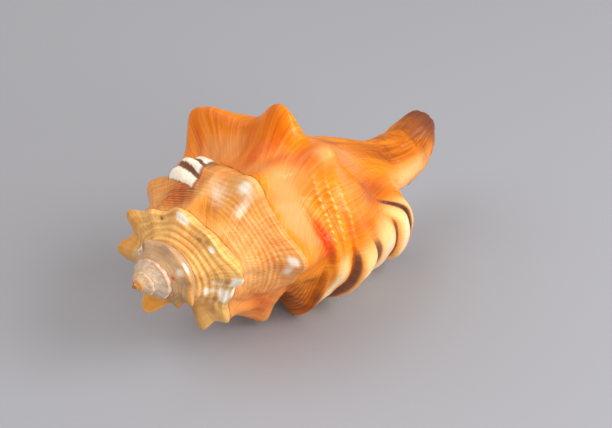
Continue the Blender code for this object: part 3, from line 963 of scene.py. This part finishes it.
@dataclass
class Layout:
    """How the surface is divided into rows and columns."""

    first_turn: float = -6.5
    turn_columns: int = 132
    cavity_turns: float = 0.5
    ramp_rows: int = 52
    collar_rows: int = 14
    edge_rows: int = 4
    wall_rows: int = 96
    canal_rows: int = 18
    deep_columns: int = 3
    surface: Surface = field(default_factory=make_surface)

    def __post_init__(self) -> None:
        """Adds up the rows."""
        self.upper_rows = self.ramp_rows + self.collar_rows
        self.lower_rows = self.edge_rows + self.wall_rows + self.canal_rows

    def upper(self, turn: Array, row: Array) -> Array:
        """Stations from the suture, over the keel, to the suture of the next whorl.

        Args:
            turn: whorls from the lip, negative before it.
            row: row numbers.

        Returns:
            Station of each row.
        """
        run = self.surface.coil.suture_run(turn)
        run = np.maximum(row - self.ramp_rows, 0) / self.collar_rows * run
        return np.where(row < self.ramp_rows, row / self.ramp_rows - 1, run)

    def lower(self, turn: Array, row: Array) -> Array:
        """Stations from the next suture, past the next whorl's thickness, to the canal's end.

        Args:
            turn: whorls from the lip, negative before it.
            row: row numbers.

        Returns:
            Station of each row.
        """
        coil = self.surface.coil
        first = coil.suture_run(turn)
        start = self.surface.parietal_run(turn)
        share = np.clip((row - self.edge_rows) / self.wall_rows, 0, 1)
        upper = first + (start - first) * row / self.edge_rows
        tube = np.maximum(row - self.edge_rows - self.wall_rows, 0) / self.canal_rows
        wall = start + (coil.wall_end - start) * share + (coil.run_end - coil.wall_end) * tube
        return np.where(row < self.edge_rows, upper, wall)

    def whole(self, turn: Array, row: Array) -> Array:
        """Stations of the whole last whorl, from its suture to the canal's end.

        Args:
            turn: whorls from the lip, negative before it.
            row: row numbers.

        Returns:
            Station of each row.
        """
        upper = self.upper(turn, np.minimum(row, self.upper_rows))
        lower = self.lower(turn, np.maximum(row - self.upper_rows, 0))
        return np.where(row < self.upper_rows, upper, lower)


Place = Callable[[Array, Array], tuple[Array, Array, Array]]


@dataclass
class ShellBody:
    """The whole shell as one closed piece."""

    markings: Markings
    layout: Layout = field(default_factory=Layout)
    rim_bulge: float = 0.006
    suture_line: float = 0.022
    suture_start: tuple = (70, 110)
    sharp_angle: float = 62.0
    seam: float = 2e-7
    tip_height: float = 0.1

    def __post_init__(self) -> None:
        """Starts the mesh and its layers."""
        self.surface = self.layout.surface
        self.bm = bmesh.new()
        layers = self.bm.loops.layers
        self.layers = {name: layers.float_vector.new(name) for name in ("place", *PIGMENTS)}
        self.layers.update({name: layers.float.new(name) for name in ("along", "inside")})

    def patch(self, name: str, columns: int, rows: int, place: Place, side: Side) -> None:
        """Adds a grid and moves its vertices onto the surface.

        Args:
            name: what the patch is, for the log.
            columns: faces along the whorl.
            rows: faces across the whorl.
            place: gives points, turns and stations for column and row numbers.
            side: side of the shell.
        """
        made = bmesh.ops.create_grid(self.bm, x_segments=columns, y_segments=rows, size=0.5)
        grid = made["verts"]
        flat = np.array([vertex.co[:2] for vertex in grid]) + 0.5
        index = np.rint(flat * (columns, rows))
        points, turn, station = place(index[:, 0], index[:, 1])
        coil = self.surface.coil
        back = coil.back(turn)
        run = self.surface.run_of(turn, station)
        covers = self.markings.cover(coil, back, run)
        if side is Side.OUTSIDE:
            foot = hump((1 + np.minimum(station, 0)) / self.suture_line, 3)
            foot = foot * ease(*self.suture_start, back)
            covers["brown"] = np.maximum(covers["brown"], foot)
        values = {"place": np.stack([back * ARC_PER_DEGREE, run, -turn], axis=-1).tolist()}
        for layer, names in PIGMENTS.items():
            values[layer] = np.stack([covers[name] for name in names], axis=-1).tolist()
        values["along"] = coil.along(back, run).tolist()
        values["inside"] = [side.value] * len(grid)
        number = {}
        for k, (vertex, point) in enumerate(zip(grid, (points * MM).tolist())):
            vertex.co = point
            number[vertex] = k
        written = [(self.layers[layer], column) for layer, column in values.items()]
        for face in {face for vertex in grid for face in vertex.link_faces}:
            face.smooth = True
            for loop in face.loops:
                k = number[loop.vert]
                for layer, column in written:
                    loop[layer] = column[k]
        LOG.info("%s: %d by %d faces", name, columns, rows)

    def add_spire(self) -> None:
        """Ramps and keels of all the whorls, each one seamed to the one before."""
        layout = self.layout

        def place(i: Array, j: Array) -> tuple[Array, Array, Array]:
            """Outer face of the ramps and keels.

            Args:
                i: column numbers.
                j: row numbers.

            Returns:
                Points in space, turns and stations.
            """
            turn = layout.first_turn + i / layout.turn_columns
            station = layout.upper(turn, j)
            return self.surface.outer(turn, station), turn, station

        columns = round(-layout.first_turn * layout.turn_columns)
        self.patch("spire", columns, layout.upper_rows, place, Side.OUTSIDE)

    def add_last_wall(self) -> None:
        """Open wall of the last whorl, from the suture to the end of the canal."""
        layout = self.layout

        def place(i: Array, j: Array) -> tuple[Array, Array, Array]:
            """Outer face of the last wall.

            Args:
                i: column numbers.
                j: row numbers.

            Returns:
                Points in space, turns and stations.
            """
            turn = -1 + i / layout.turn_columns
            station = layout.lower(turn, j)
            return self.surface.outer(turn, station), turn, station

        self.patch("last wall", layout.turn_columns, layout.lower_rows, place, Side.OUTSIDE)

    def add_hollow(self) -> None:
        """The hollow's columella side, its lining, the lip's rim and the deep end."""
        layout = self.layout
        back = round(layout.cavity_turns * layout.turn_columns)
        rows = layout.upper_rows + layout.lower_rows
        root = layout.upper_rows + layout.edge_rows

        def columella(i: Array, j: Array) -> tuple[Array, Array, Array]:
            """Wall of the whorl before, seen in the hollow.

            Args:
                i: column numbers.
                j: row numbers.

            Returns:
                Points in space, turns and stations.
            """
            turn = -1 - (back - i) / layout.turn_columns
            station = layout.lower(turn, j + layout.edge_rows)
            return self.surface.outer(turn, station), turn, station

        def lining(i: Array, j: Array) -> tuple[Array, Array, Array]:
            """Inner face of the last whorl.

            Args:
                i: column numbers.
                j: row numbers.

            Returns:
                Points in space, turns and stations.
            """
            turn = -(back - i) / layout.turn_columns
            station = layout.whole(turn, j)
            return self.surface.inner(turn, station), turn, station

        def rim(i: Array, j: Array) -> tuple[Array, Array, Array]:
            """Rounded edge of the lip, from the outer face to the inner one.

            Args:
                i: column numbers.
                j: row numbers.

            Returns:
                Points in space, turns and stations.
            """
            lip = np.zeros_like(j)
            angle = math.pi * i / layout.edge_rows
            bulge = self.rim_bulge * np.sin(angle) * ease(0, 3, j)
            station = layout.whole(lip, j)
            outside = self.surface.outer(bulge, station)
            inside = self.surface.inner(bulge, station)
            share = ((1 - np.cos(angle)) / 2)[..., None]
            return (1 - share) * outside + share * inside, lip, station

        def deep_end(i: Array, j: Array) -> tuple[Array, Array, Array]:
            """End of the hollow, from the columella to the lining.

            Args:
                i: column numbers.
                j: row numbers.

            Returns:
                Points in space, turns and stations.
            """
            start = np.zeros_like(j)
            near = columella(start, np.maximum(j - root, 0))[0]
            far, turn, station = lining(start, j)
            share = (i / layout.deep_columns)[..., None]
            return (1 - share) * near + share * far, turn, station

        inner_rows = layout.lower_rows - layout.edge_rows
        self.patch("columella", back, inner_rows, columella, Side.INSIDE)
        self.patch("lining", back, rows, lining, Side.INSIDE)
        self.patch("rim", layout.edge_rows, rows, rim, Side.INSIDE)
        self.patch("deep end", layout.deep_columns, rows, deep_end, Side.INSIDE)

    def close_ends(self) -> None:
        """Caps the apex with a fan and the end of the canal with a flat face."""
        edges = [edge for edge in self.bm.edges if edge.is_boundary]
        caps = bmesh.ops.holes_fill(self.bm, edges=edges, sides=0)["faces"]
        caps.sort(key=lambda face: -face.calc_center_median().z)
        tip = bmesh.ops.poke(self.bm, faces=caps[:1])["verts"][0]
        tip.co = (0, 0, self.tip_height * MM)
        bmesh.ops.triangulate(self.bm, faces=caps[1:], ngon_method="EAR_CLIP")
        place = self.layers["place"]
        for loop in [loop for face in self.bm.faces for loop in face.loops]:
            if loop[place].length > 0:
                continue
            source = loop.link_loop_next
            if loop.vert is not tip:
                source = next(near for near in loop.vert.link_loops if near[place].length > 0)
            loop[place] = source[place]

    def lay_down(self) -> None:
        """Turns the shell onto its aperture, on the middle of the base of its box."""
        coil = self.surface.coil
        azimuth, lift = math.radians(coil.up_azimuth), math.radians(coil.apex_lift)
        flat = math.cos(lift)
        up = Vector((flat * math.cos(azimuth), flat * math.sin(azimuth), math.sin(lift)))
        side = up.cross(Vector((0, 0, -1))).normalized()
        turned = Matrix((side.cross(up), side, up)).to_4x4()
        bmesh.ops.transform(self.bm, matrix=turned, verts=self.bm.verts)
        bmesh.ops.translate(self.bm, vec=Vector(coil.base) * -MM, verts=self.bm.verts)

    def build(self) -> bpy.types.Object:
        """Builds the piece.

        Returns:
            The shell's object, at the origin.
        """
        self.add_spire()
        self.add_last_wall()
        self.add_hollow()
        bmesh.ops.remove_doubles(self.bm, verts=self.bm.verts, dist=self.seam)
        self.close_ends()
        bmesh.ops.recalc_face_normals(self.bm, faces=self.bm.faces)
        self.lay_down()
        mesh = bpy.data.meshes.new("triton_shell")
        self.bm.to_mesh(mesh)
        self.bm.free()
        mesh.set_sharp_from_angle(angle=math.radians(self.sharp_angle))
        piece = bpy.data.objects.new("triton_shell", mesh)
        bpy.context.scene.collection.objects.link(piece)
        return piece


Value = Union["Signal", float, int]


@dataclass
class Signal:
    """One output of a shader node, with arithmetic on it."""

    graph: "Graph"
    socket: bpy.types.NodeSocket

    def _math(self, operation: str, first: Value, second: Value) -> "Signal":
        """A Math node on two values."""
        return self.graph.node("ShaderNodeMath", {"operation": operation}, {0: first, 1: second})

    def __add__(self, other: Value) -> "Signal":
        """Sum."""
        return self._math("ADD", self, other)

    def __radd__(self, other: Value) -> "Signal":
        """Sum with a number in front."""
        return self._math("ADD", other, self)

    def __sub__(self, other: Value) -> "Signal":
        """Difference."""
        return self._math("SUBTRACT", self, other)

    def __rsub__(self, other: Value) -> "Signal":
        """Difference from a number."""
        return self._math("SUBTRACT", other, self)

    def __mul__(self, other: Value) -> "Signal":
        """Product."""
        return self._math("MULTIPLY", self, other)

    def __rmul__(self, other: Value) -> "Signal":
        """Product with a number in front."""
        return self._math("MULTIPLY", other, self)

    def least(self, other: Value) -> "Signal":
        """Smaller of the two."""
        return self._math("MINIMUM", self, other)

    def most(self, other: Value) -> "Signal":
        """Larger of the two."""
        return self._math("MAXIMUM", self, other)

    def size(self) -> "Signal":
        """Value without its sign."""
        return self.graph.node("ShaderNodeMath", {"operation": "ABSOLUTE"}, {0: self})

    def between(self, low: float, high: float) -> "Signal":
        """Smooth step: 0 below low, 1 above high, or the other way round if low is larger.

        Args:
            low: where the step is 0.
            high: where the step is 1.

        Returns:
            The step's signal.
        """
        ends = (low, high, 0.0, 1.0) if low < high else (high, low, 1.0, 0.0)
        sockets = {0: self, **dict(enumerate(ends, 1))}
        return self.graph.node("ShaderNodeMapRange", {"interpolation_type": "SMOOTHSTEP"}, sockets)

    def wave(self, step: float) -> "Signal":
        """Cosine ridges of this spacing, from 0 to 1.

        Args:
            step: distance from crest to crest.

        Returns:
            The ridges' signal.
        """
        turned = self * (TAU / step)
        cosine = self.graph.node("ShaderNodeMath", {"operation": "COSINE"}, {0: turned})
        return cosine * 0.5 + 0.5


class Graph:
    """Node tree of one material."""

    def __init__(self, name: str) -> None:
        """Starts an empty material with a Principled shader.

        Args:
            name: the material's name.
        """
        self.material = bpy.data.materials.new(name)
        self.material.use_nodes = True
        self.tree = self.material.node_tree
        self.surface = self.tree.nodes["Principled BSDF"]

    def node(
        self, kind: str, settings: dict, sockets: dict, output: Union[int, str] = 0
    ) -> Signal:
        """Adds one node.

        Args:
            kind: the node's type.
            settings: its properties, or for a ramp its stops.
            sockets: value or signal of each input, by name or number.
            output: the output that is wanted.

        Returns:
            The signal of that output.
        """
        made = self.tree.nodes.new(kind)
        for key, value in settings.items():
            if key == "stops":
                self._set_stops(made.color_ramp, value)
            else:
                setattr(made, key, value)
        for key, value in sockets.items():
            self.feed(made.inputs[key], value)
        return Signal(self, made.outputs[output])

    def _set_stops(self, ramp: bpy.types.ColorRamp, stops: Sequence[tuple]) -> None:
        """Fills a ramp with (position, colour) stops.

        Args:
            ramp: the ramp.
            stops: position and colour of each stop.
        """
        while len(ramp.elements) < len(stops):
            ramp.elements.new(0.5)
        for element, (position, colour) in zip(ramp.elements, stops):
            element.position = position
            element.color = colour

    def feed(self, socket: bpy.types.NodeSocket, value: Union[Value, Sequence[float]]) -> None:
        """Links a signal to a socket, or sets a plain value on it.

        Args:
            socket: the input.
            value: signal or plain value.
        """
        if isinstance(value, Signal):
            self.tree.links.new(value.socket, socket)
        else:
            socket.default_value = value

    def mix(self, share: Value, first: object, second: object) -> Signal:
        """Mixes two colours."""
        settings = {"data_type": "RGBA", "clamp_factor": True}
        return self.node("ShaderNodeMix", settings, {0: share, 6: first, 7: second}, 2)

    def attribute(self, name: str, output: str = "Vector") -> Signal:
        """Reads one of the piece's own attributes."""
        return self.node("ShaderNodeAttribute", {"attribute_name": name}, {}, output)

    def parts(self, vector: Signal) -> list[Signal]:
        """The three numbers of a vector.

        Args:
            vector: the vector.

        Returns:
            A signal for each number.
        """
        first = self.node("ShaderNodeSeparateXYZ", {}, {0: vector})
        outputs = first.socket.node.outputs
        return [Signal(self, outputs[k]) for k in range(3)]

    def noise(self, vector: Signal, stretch: tuple, detail: float, rough: float) -> Signal:
        """Smooth noise from 0 to 1.

        Args:
            vector: where it is read.
            stretch: how fine it is along each axis.
            detail: number of finer layers.
            rough: strength of the finer layers.

        Returns:
            The noise's signal.
        """
        scaling = {0: vector, 1: stretch}
        scaled = self.node("ShaderNodeVectorMath", {"operation": "MULTIPLY"}, scaling)
        sockets = {"Vector": scaled, "Scale": 1.0, "Detail": detail, "Roughness": rough}
        return self.node("ShaderNodeTexNoise", {}, sockets)

    def coats(self, ground: Signal, coats: Sequence[tuple]) -> Signal:
        """Lays coats of (cover, tone) over a ground colour, one after another.

        Args:
            ground: colour to start from.
            coats: cover and tone of each coat, in order.

        Returns:
            The colour on top.
        """
        for cover, tone in coats:
            ground = self.mix(cover, ground, tone)
        return ground


def colour(red: float, green: float, blue: float) -> tuple[float, float, float, float]:
    """A linear colour from the 0 to 255 values it is seen at.

    Args:
        red: red as it is seen.
        green: green as it is seen.
        blue: blue as it is seen.

    Returns:
        Linear red, green and blue, and full cover.
    """
    seen = [value / 255 for value in (red, green, blue)]
    linear = [v / 12.92 if v <= 0.04045 else ((v + 0.055) / 1.055) ** 2.4 for v in seen]
    return (*linear, 1.0)


@dataclass(frozen=True)
class Groove:
    """Dark paint in one groove between the ribs behind the lip."""

    along: float
    half_width: float
    strength: float
    last_back: float
    fade: float = 5.0
    solid: float = 0.3

    def cover(self, along: Signal, arc: Signal) -> Signal:
        """How much the paint covers.

        Args:
            along: run that a rib keeps along its length.
            arc: arc along the last whorl's keel from the lip.

        Returns:
            Cover of the paint, up to its strength.
        """
        last = self.last_back * ARC_PER_DEGREE
        reach = arc.between(last, last - self.fade) * self.strength
        across = (along - self.along).size()
        return across.between(self.half_width, self.solid * self.half_width) * reach


@dataclass(frozen=True)
class OldLip:
    """Paint of the ribbed varix of the whorl before: pale ribs parted by dark lines."""

    back: float = 530.0
    half_back: float = 20.0
    slant: float = 0.17
    ribs: tuple = ((-3.2, 2.0), (1.7, 1.5), (6.6, 2.0))
    middle: float = 2.0
    half_run: float = 7.6

    def covers(self, arc: Signal, run: Signal, wobble: Signal) -> tuple[Signal, Signal]:
        """How much the pale and the dark paint cover.

        Args:
            arc: arc along the last whorl's keel from the lip.
            run: distance below the keel at full growth, negative on the ramp.
            wobble: unevenness of the paint's edge.

        Returns:
            Cover of the pale paint and of the dark paint.
        """
        back = arc * (1 / ARC_PER_DEGREE) - self.back
        across = run - back * self.slant + wobble
        reach = back.size().between(self.half_back, 0.85 * self.half_back)
        tips = back.size().between(0.92 * self.half_back, 0.75 * self.half_back)
        ribs = [
            (across - crest).size().between(1.1 * half, 0.8 * half) for crest, half in self.ribs
        ]
        pale = ribs[0].most(ribs[1]).most(ribs[2])
        dark = (across - self.middle).size().between(self.half_run, 0.9 * self.half_run)
        return pale * tips, dark * reach


class Pattern:
    """What the finish is drawn with: the piece's own attributes, and noises and waves on them.

    Arc and run are in millimetres at full growth, and age counts whorls from the lip.
    """

    def __init__(self, graph: Graph) -> None:
        """Reads the attributes and draws the patterns.

        Args:
            graph: the material's nodes.
        """
        place = graph.attribute("place")
        self.arc, self.run, self.age = graph.parts(place)
        self.along = graph.attribute("along", "Fac")
        self.inside = graph.attribute("inside", "Fac")
        self.cover = {
            name: part
            for layer, names in PIGMENTS.items()
            for name, part in zip(names, graph.parts(graph.attribute(layer)))
        }
        ramp = self.run.least(0.0)
        bowed = self.arc + ramp * ramp * 0.045 + self.run * 0.15
        bowed = graph.node("ShaderNodeCombineXYZ", {}, {0: bowed, 1: self.run, 2: self.age})
        self.growth_lines = graph.noise(bowed, (1.3, 0.06, 1.0), 3.0, 0.6)
        self.bands = graph.noise(bowed, (0.45, 0.05, 1.0), 2.0, 0.5)
        self.spiral_lines = graph.noise(place, (0.04, 1.3, 1.0), 2.0, 0.55)
        self.blotches = graph.noise(place, (0.12, 0.10, 1.0), 2.0, 0.5)
        self.mottles = graph.noise(place, (0.22, 0.5, 1.0), 3.0, 0.6)
        self.rings = graph.noise(place, (0.05, 0.42, 1.0), 3.0, 0.6)
        grain = graph.node("ShaderNodeTexCoord", {}, {}, "Object")
        self.grain = graph.noise(grain, (900.0, 900.0, 900.0), 3.0, 0.6)
        self.older = self.age.between(0.9, 1.15)
        self.fresh = 1.0 - self.age.between(2.8, 3.15) * 0.85
        self.crests = (self.run - 0.3).wave(1.5)
        self.beads = (self.arc * 1.0 + self.run * 0.5 + self.blotches * 6.0).wave(1.9)
        self.dots = self.beads * self.mottles.between(0.4, 0.62)


@dataclass(frozen=True)
class ShellFinish:
    """Colours and gloss of the glazed shell."""

    by_age: tuple = (
        (0.00, colour(240, 138, 10)),
        (0.80, colour(240, 138, 10)),
        (1.05, colour(228, 152, 84)),
        (1.50, colour(222, 150, 78)),
        (1.95, colour(216, 150, 60)),
        (2.05, colour(232, 184, 106)),
        (2.75, colour(236, 190, 112)),
        (3.02, colour(196, 152, 98)),
        (3.25, colour(190, 154, 118)),
        (3.65, colour(200, 166, 132)),
        (3.95, colour(208, 200, 186)),
        (5.60, colour(226, 200, 168)),
        (6.20, colour(222, 158, 96)),
    )
    most_age: float = 7.0
    streak: tuple = colour(216, 110, 0)
    pale_line: tuple = colour(253, 208, 140)
    # White of the varix ribs and patches, also used for painted highlights on knobs and rib
    # crests.
    white: tuple = colour(252, 245, 228)
    cream: tuple = colour(244, 196, 126)
    violet: tuple = colour(122, 64, 44)
    brown: tuple = colour(146, 66, 8)
    chocolate: tuple = colour(66, 30, 18)
    groove: tuple = colour(88, 48, 36)
    groove_light: tuple = colour(116, 72, 58)
    red: tuple = colour(196, 54, 0)
    sand: tuple = colour(224, 152, 90)
    ochre: tuple = colour(226, 150, 44)
    line: tuple = colour(116, 50, 16)
    deep: tuple = colour(234, 124, 0)
    inside: tuple = colour(250, 236, 218)
    sheen: tuple = colour(255, 214, 150)
    grooves: tuple = (
        Groove(-0.9, 1.0, 0.9, 53),
        Groove(8.9, 1.6, 0.9, 50),
        Groove(21.4, 0.32, 0.8, 46),
        Groove(28.1, 1.7, 1.0, 60),
    )
    old_lip: OldLip = field(default_factory=OldLip)
    roughness: float = 0.27
    specular: float = 0.28
    coat: float = 0.17
    coat_roughness: float = 0.1
    bump: float = 0.6

    def grown(self, graph: Graph, drawn: Pattern) -> Signal:
        """Ground colour by age, with growth lines and blotches.

        Args:
            graph: the material's nodes.
            drawn: what to draw with.

        Returns:
            The ground's colour.
        """
        stops = [(age / self.most_age, tone) for age, tone in self.by_age]
        age = drawn.age * (1 / self.most_age)
        ground = graph.node("ShaderNodeValToRGB", {"stops": stops}, {0: age})
        lines, spirals = drawn.growth_lines, drawn.spiral_lines
        folds = (drawn.run + drawn.arc * (0.02 / ARC_PER_DEGREE) - 14.05).wave(3.1)
        on_folded_whorl = drawn.age.between(1.9, 2.05) * drawn.age.between(3.1, 2.9)
        oldest = drawn.age.between(3.3, 3.7)
        coats = (
            (drawn.cover["deep"], self.deep),
            (lines.between(0.51, 0.63) * drawn.fresh * 0.62, self.streak),
            (lines.between(0.45, 0.36) * 0.16, self.pale_line),
            (drawn.blotches.between(0.48, 0.75) * drawn.fresh * 0.45, self.streak),
            (spirals.between(0.5, 0.75) * (drawn.older * 0.35 + 0.06), self.pale_line),
            # Pale bands along the folds of this whorl are a painted highlight, with ochre between
            # them.
            (on_folded_whorl * folds.between(0.5, 1.0) * 0.45, self.pale_line),
            (on_folded_whorl * folds.between(0.35, 0.0) * 0.4, self.ochre),
            (oldest * drawn.mottles.between(0.5, 0.6) * 0.6, self.ochre),
        )
        return graph.coats(ground, coats)

    def stained(self, graph: Graph, drawn: Pattern, skin: Signal) -> Signal:
        """Soft stains, cords and beads over the ground colour.

        Args:
            graph: the material's nodes.
            drawn: what to draw with.
            skin: colour so far.

        Returns:
            The stained colour.
        """
        cover = drawn.cover
        corded, beaded = cover["corded"], cover["beaded"]
        on_canal = drawn.run.between(38.0, 46.0)
        stripes = drawn.run.wave(1.05).between(0.55, 0.95)
        coats = (
            (cover["sand"], self.sand),
            (cover["ochre"] * (0.5 + drawn.mottles), self.ochre),
            (cover["red"] * (0.55 + drawn.growth_lines * 0.8), self.red),
            (on_canal * drawn.rings.between(0.5, 0.62) * 0.5, self.brown),
            (cover["brown"] * (0.5 + drawn.bands.between(0.36, 0.6) * 0.5), self.brown),
            (corded * drawn.crests.between(0.35, 0.0) * 0.25, self.streak),
            (corded * drawn.crests * (0.2 + drawn.dots * 0.35), self.pale_line),
            (beaded * drawn.beads.between(0.35, 0.8) * 0.65, self.pale_line),
            (cover["lined"] * stripes * drawn.spiral_lines.between(0.3, 0.5), self.line),
        )
        return graph.coats(skin, coats)

    def painted(self, graph: Graph, drawn: Pattern, skin: Signal) -> Signal:
        """Cream, white and dark paint of the lips' ribs, white patches and painted highlights, and
        the pale inside.

        Args:
            graph: the material's nodes.
            drawn: what to draw with.
            skin: colour so far.

        Returns:
            The finished colour.
        """
        cover, lines = drawn.cover, drawn.growth_lines
        # White patches, among them painted highlights on knobs and rib crests.
        patches = (cover["white"] * 1.15 + (drawn.mottles - 0.5) * 0.5).between(0.08, 0.9)
        between = graph.mix(lines.between(0.42, 0.62), self.groove, self.groove_light)
        pale, dark = self.old_lip.covers(drawn.arc, drawn.run, (lines - 0.5) * 1.2)
        grooves = [(groove.cover(drawn.along, drawn.arc), between) for groove in self.grooves]
        coats = (
            (cover["cream"] * (0.8 + lines * 0.4), self.cream),
            (cover["violet"], self.violet),
            (patches * 0.9, self.white),
            *grooves,
            (cover["chocolate"], self.chocolate),
            (dark * 0.9, between),
            (pale, self.white),
            (drawn.inside, self.inside),
        )
        return graph.coats(skin, coats)

    def relief(self, drawn: Pattern) -> Signal:
        """Height, in metres, of the lines that are too fine for the mesh.

        Args:
            drawn: what to draw with.

        Returns:
            The height's signal.
        """
        height = drawn.growth_lines * 0.0006 + drawn.spiral_lines * (drawn.older * 0.0003)
        height = height + drawn.grain * 0.00008
        corded = drawn.cover["corded"] * drawn.crests * drawn.dots
        return height + (corded + drawn.cover["beaded"] * drawn.beads) * 0.00025

    def material(self) -> bpy.types.Material:
        """Builds the shell's material.

        Returns:
            The material.
        """
        graph = Graph("glazed_shell")
        drawn = Pattern(graph)
        skin = self.stained(graph, drawn, self.grown(graph, drawn))
        bumps = {"Height": self.relief(drawn), "Strength": self.bump, "Distance": 1.0}
        sockets = {
            "Base Color": self.painted(graph, drawn, skin),
            "Roughness": self.roughness + drawn.growth_lines * 0.12,
            "Normal": graph.node("ShaderNodeBump", {}, bumps),
            "Specular IOR Level": self.specular,
            "Specular Tint": self.sheen,
            "Coat Weight": self.coat,
            "Coat Roughness": self.coat_roughness,
        }
        for name, value in sockets.items():
            graph.feed(graph.surface.inputs[name], value)
        return graph.material


@dataclass
class Studio:
    """Floor, backdrop, soft lights and the camera."""

    floor_half: float = 3.0
    floor_colour: tuple = colour(157, 160, 168)
    camera_place: tuple = (-0.253473, -0.251976, 0.261902)
    camera_turn: tuple = (56.1934, 2.4121, -47.6435)
    lens: float = 94.12
    lights: tuple = (
        ("main_light", (0.24, -0.56, 0.46), 0.5, 4.5),
        ("back_light", (-0.45, 0.5, 0.9), 1.1, 7.0),
        ("low_light", (-0.10, -0.75, 0.16), 0.3, 3.4),
    )
    world: tuple = colour(255, 240, 226)
    world_strength: float = 0.52

    def build(self) -> None:
        """Adds the floor, lights, world and camera."""
        self._floor()
        self._lights()
        self._world()
        self._camera()

    def _floor(self) -> None:
        """A wide plain floor at the height the shell lies on."""
        bm = bmesh.new()
        bmesh.ops.create_grid(bm, x_segments=1, y_segments=1, size=self.floor_half)
        mesh = bpy.data.meshes.new("floor")
        bm.to_mesh(mesh)
        bm.free()
        graph = Graph("matt_floor")
        finish = {"Base Color": self.floor_colour, "Roughness": 0.8, "Specular IOR Level": 0.2}
        for name, value in finish.items():
            graph.feed(graph.surface.inputs[name], value)
        mesh.materials.append(graph.material)
        floor = bpy.data.objects.new("floor", mesh)
        bpy.context.scene.collection.objects.link(floor)

    def _lights(self) -> None:
        """Soft boxes: the main one in front, a wide one behind and above, a low one in front."""
        for name, place, size, power in self.lights:
            lamp = bpy.data.lights.new(name, "AREA")
            lamp.shape = "SQUARE"
            lamp.size = size
            lamp.energy = power
            light = bpy.data.objects.new(name, lamp)
            light.location = place
            light.rotation_euler = (-Vector(place)).to_track_quat("-Z", "Y").to_euler()
            bpy.context.scene.collection.objects.link(light)

    def _world(self) -> None:
        """Even pale light from all round."""
        world = bpy.data.worlds.new("studio")
        world.use_nodes = True
        sky = world.node_tree.nodes["Background"]
        sky.inputs["Color"].default_value = self.world
        sky.inputs["Strength"].default_value = self.world_strength
        bpy.context.scene.world = world

    def _camera(self) -> None:
        """Camera above the apex end, looking down the shell."""
        lens = bpy.data.cameras.new("camera")
        lens.lens = self.lens
        lens.sensor_width = 36.0
        lens.clip_start = 0.01
        camera = bpy.data.objects.new("camera", lens)
        camera.location = self.camera_place
        camera.rotation_euler = [math.radians(angle) for angle in self.camera_turn]
        bpy.context.scene.collection.objects.link(camera)
        bpy.context.scene.camera = camera
        bpy.context.scene.view_settings.view_transform = "Standard"


def main() -> None:
    """Builds the shell and its studio."""
    logging.basicConfig(level=logging.INFO, format="%(name)s: %(message)s")
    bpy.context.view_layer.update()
    shell = ShellBody(Markings()).build()
    shell.data.materials.append(ShellFinish().material())
    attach(shell, "root")
    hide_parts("shell")
    mesh = shell.data
    LOG.info("%s: %d vertices, %d faces", shell.name, len(mesh.vertices), len(mesh.polygons))
    Studio().build()
    bpy.context.view_layer.update()


if __name__ == "__main__":
    main()
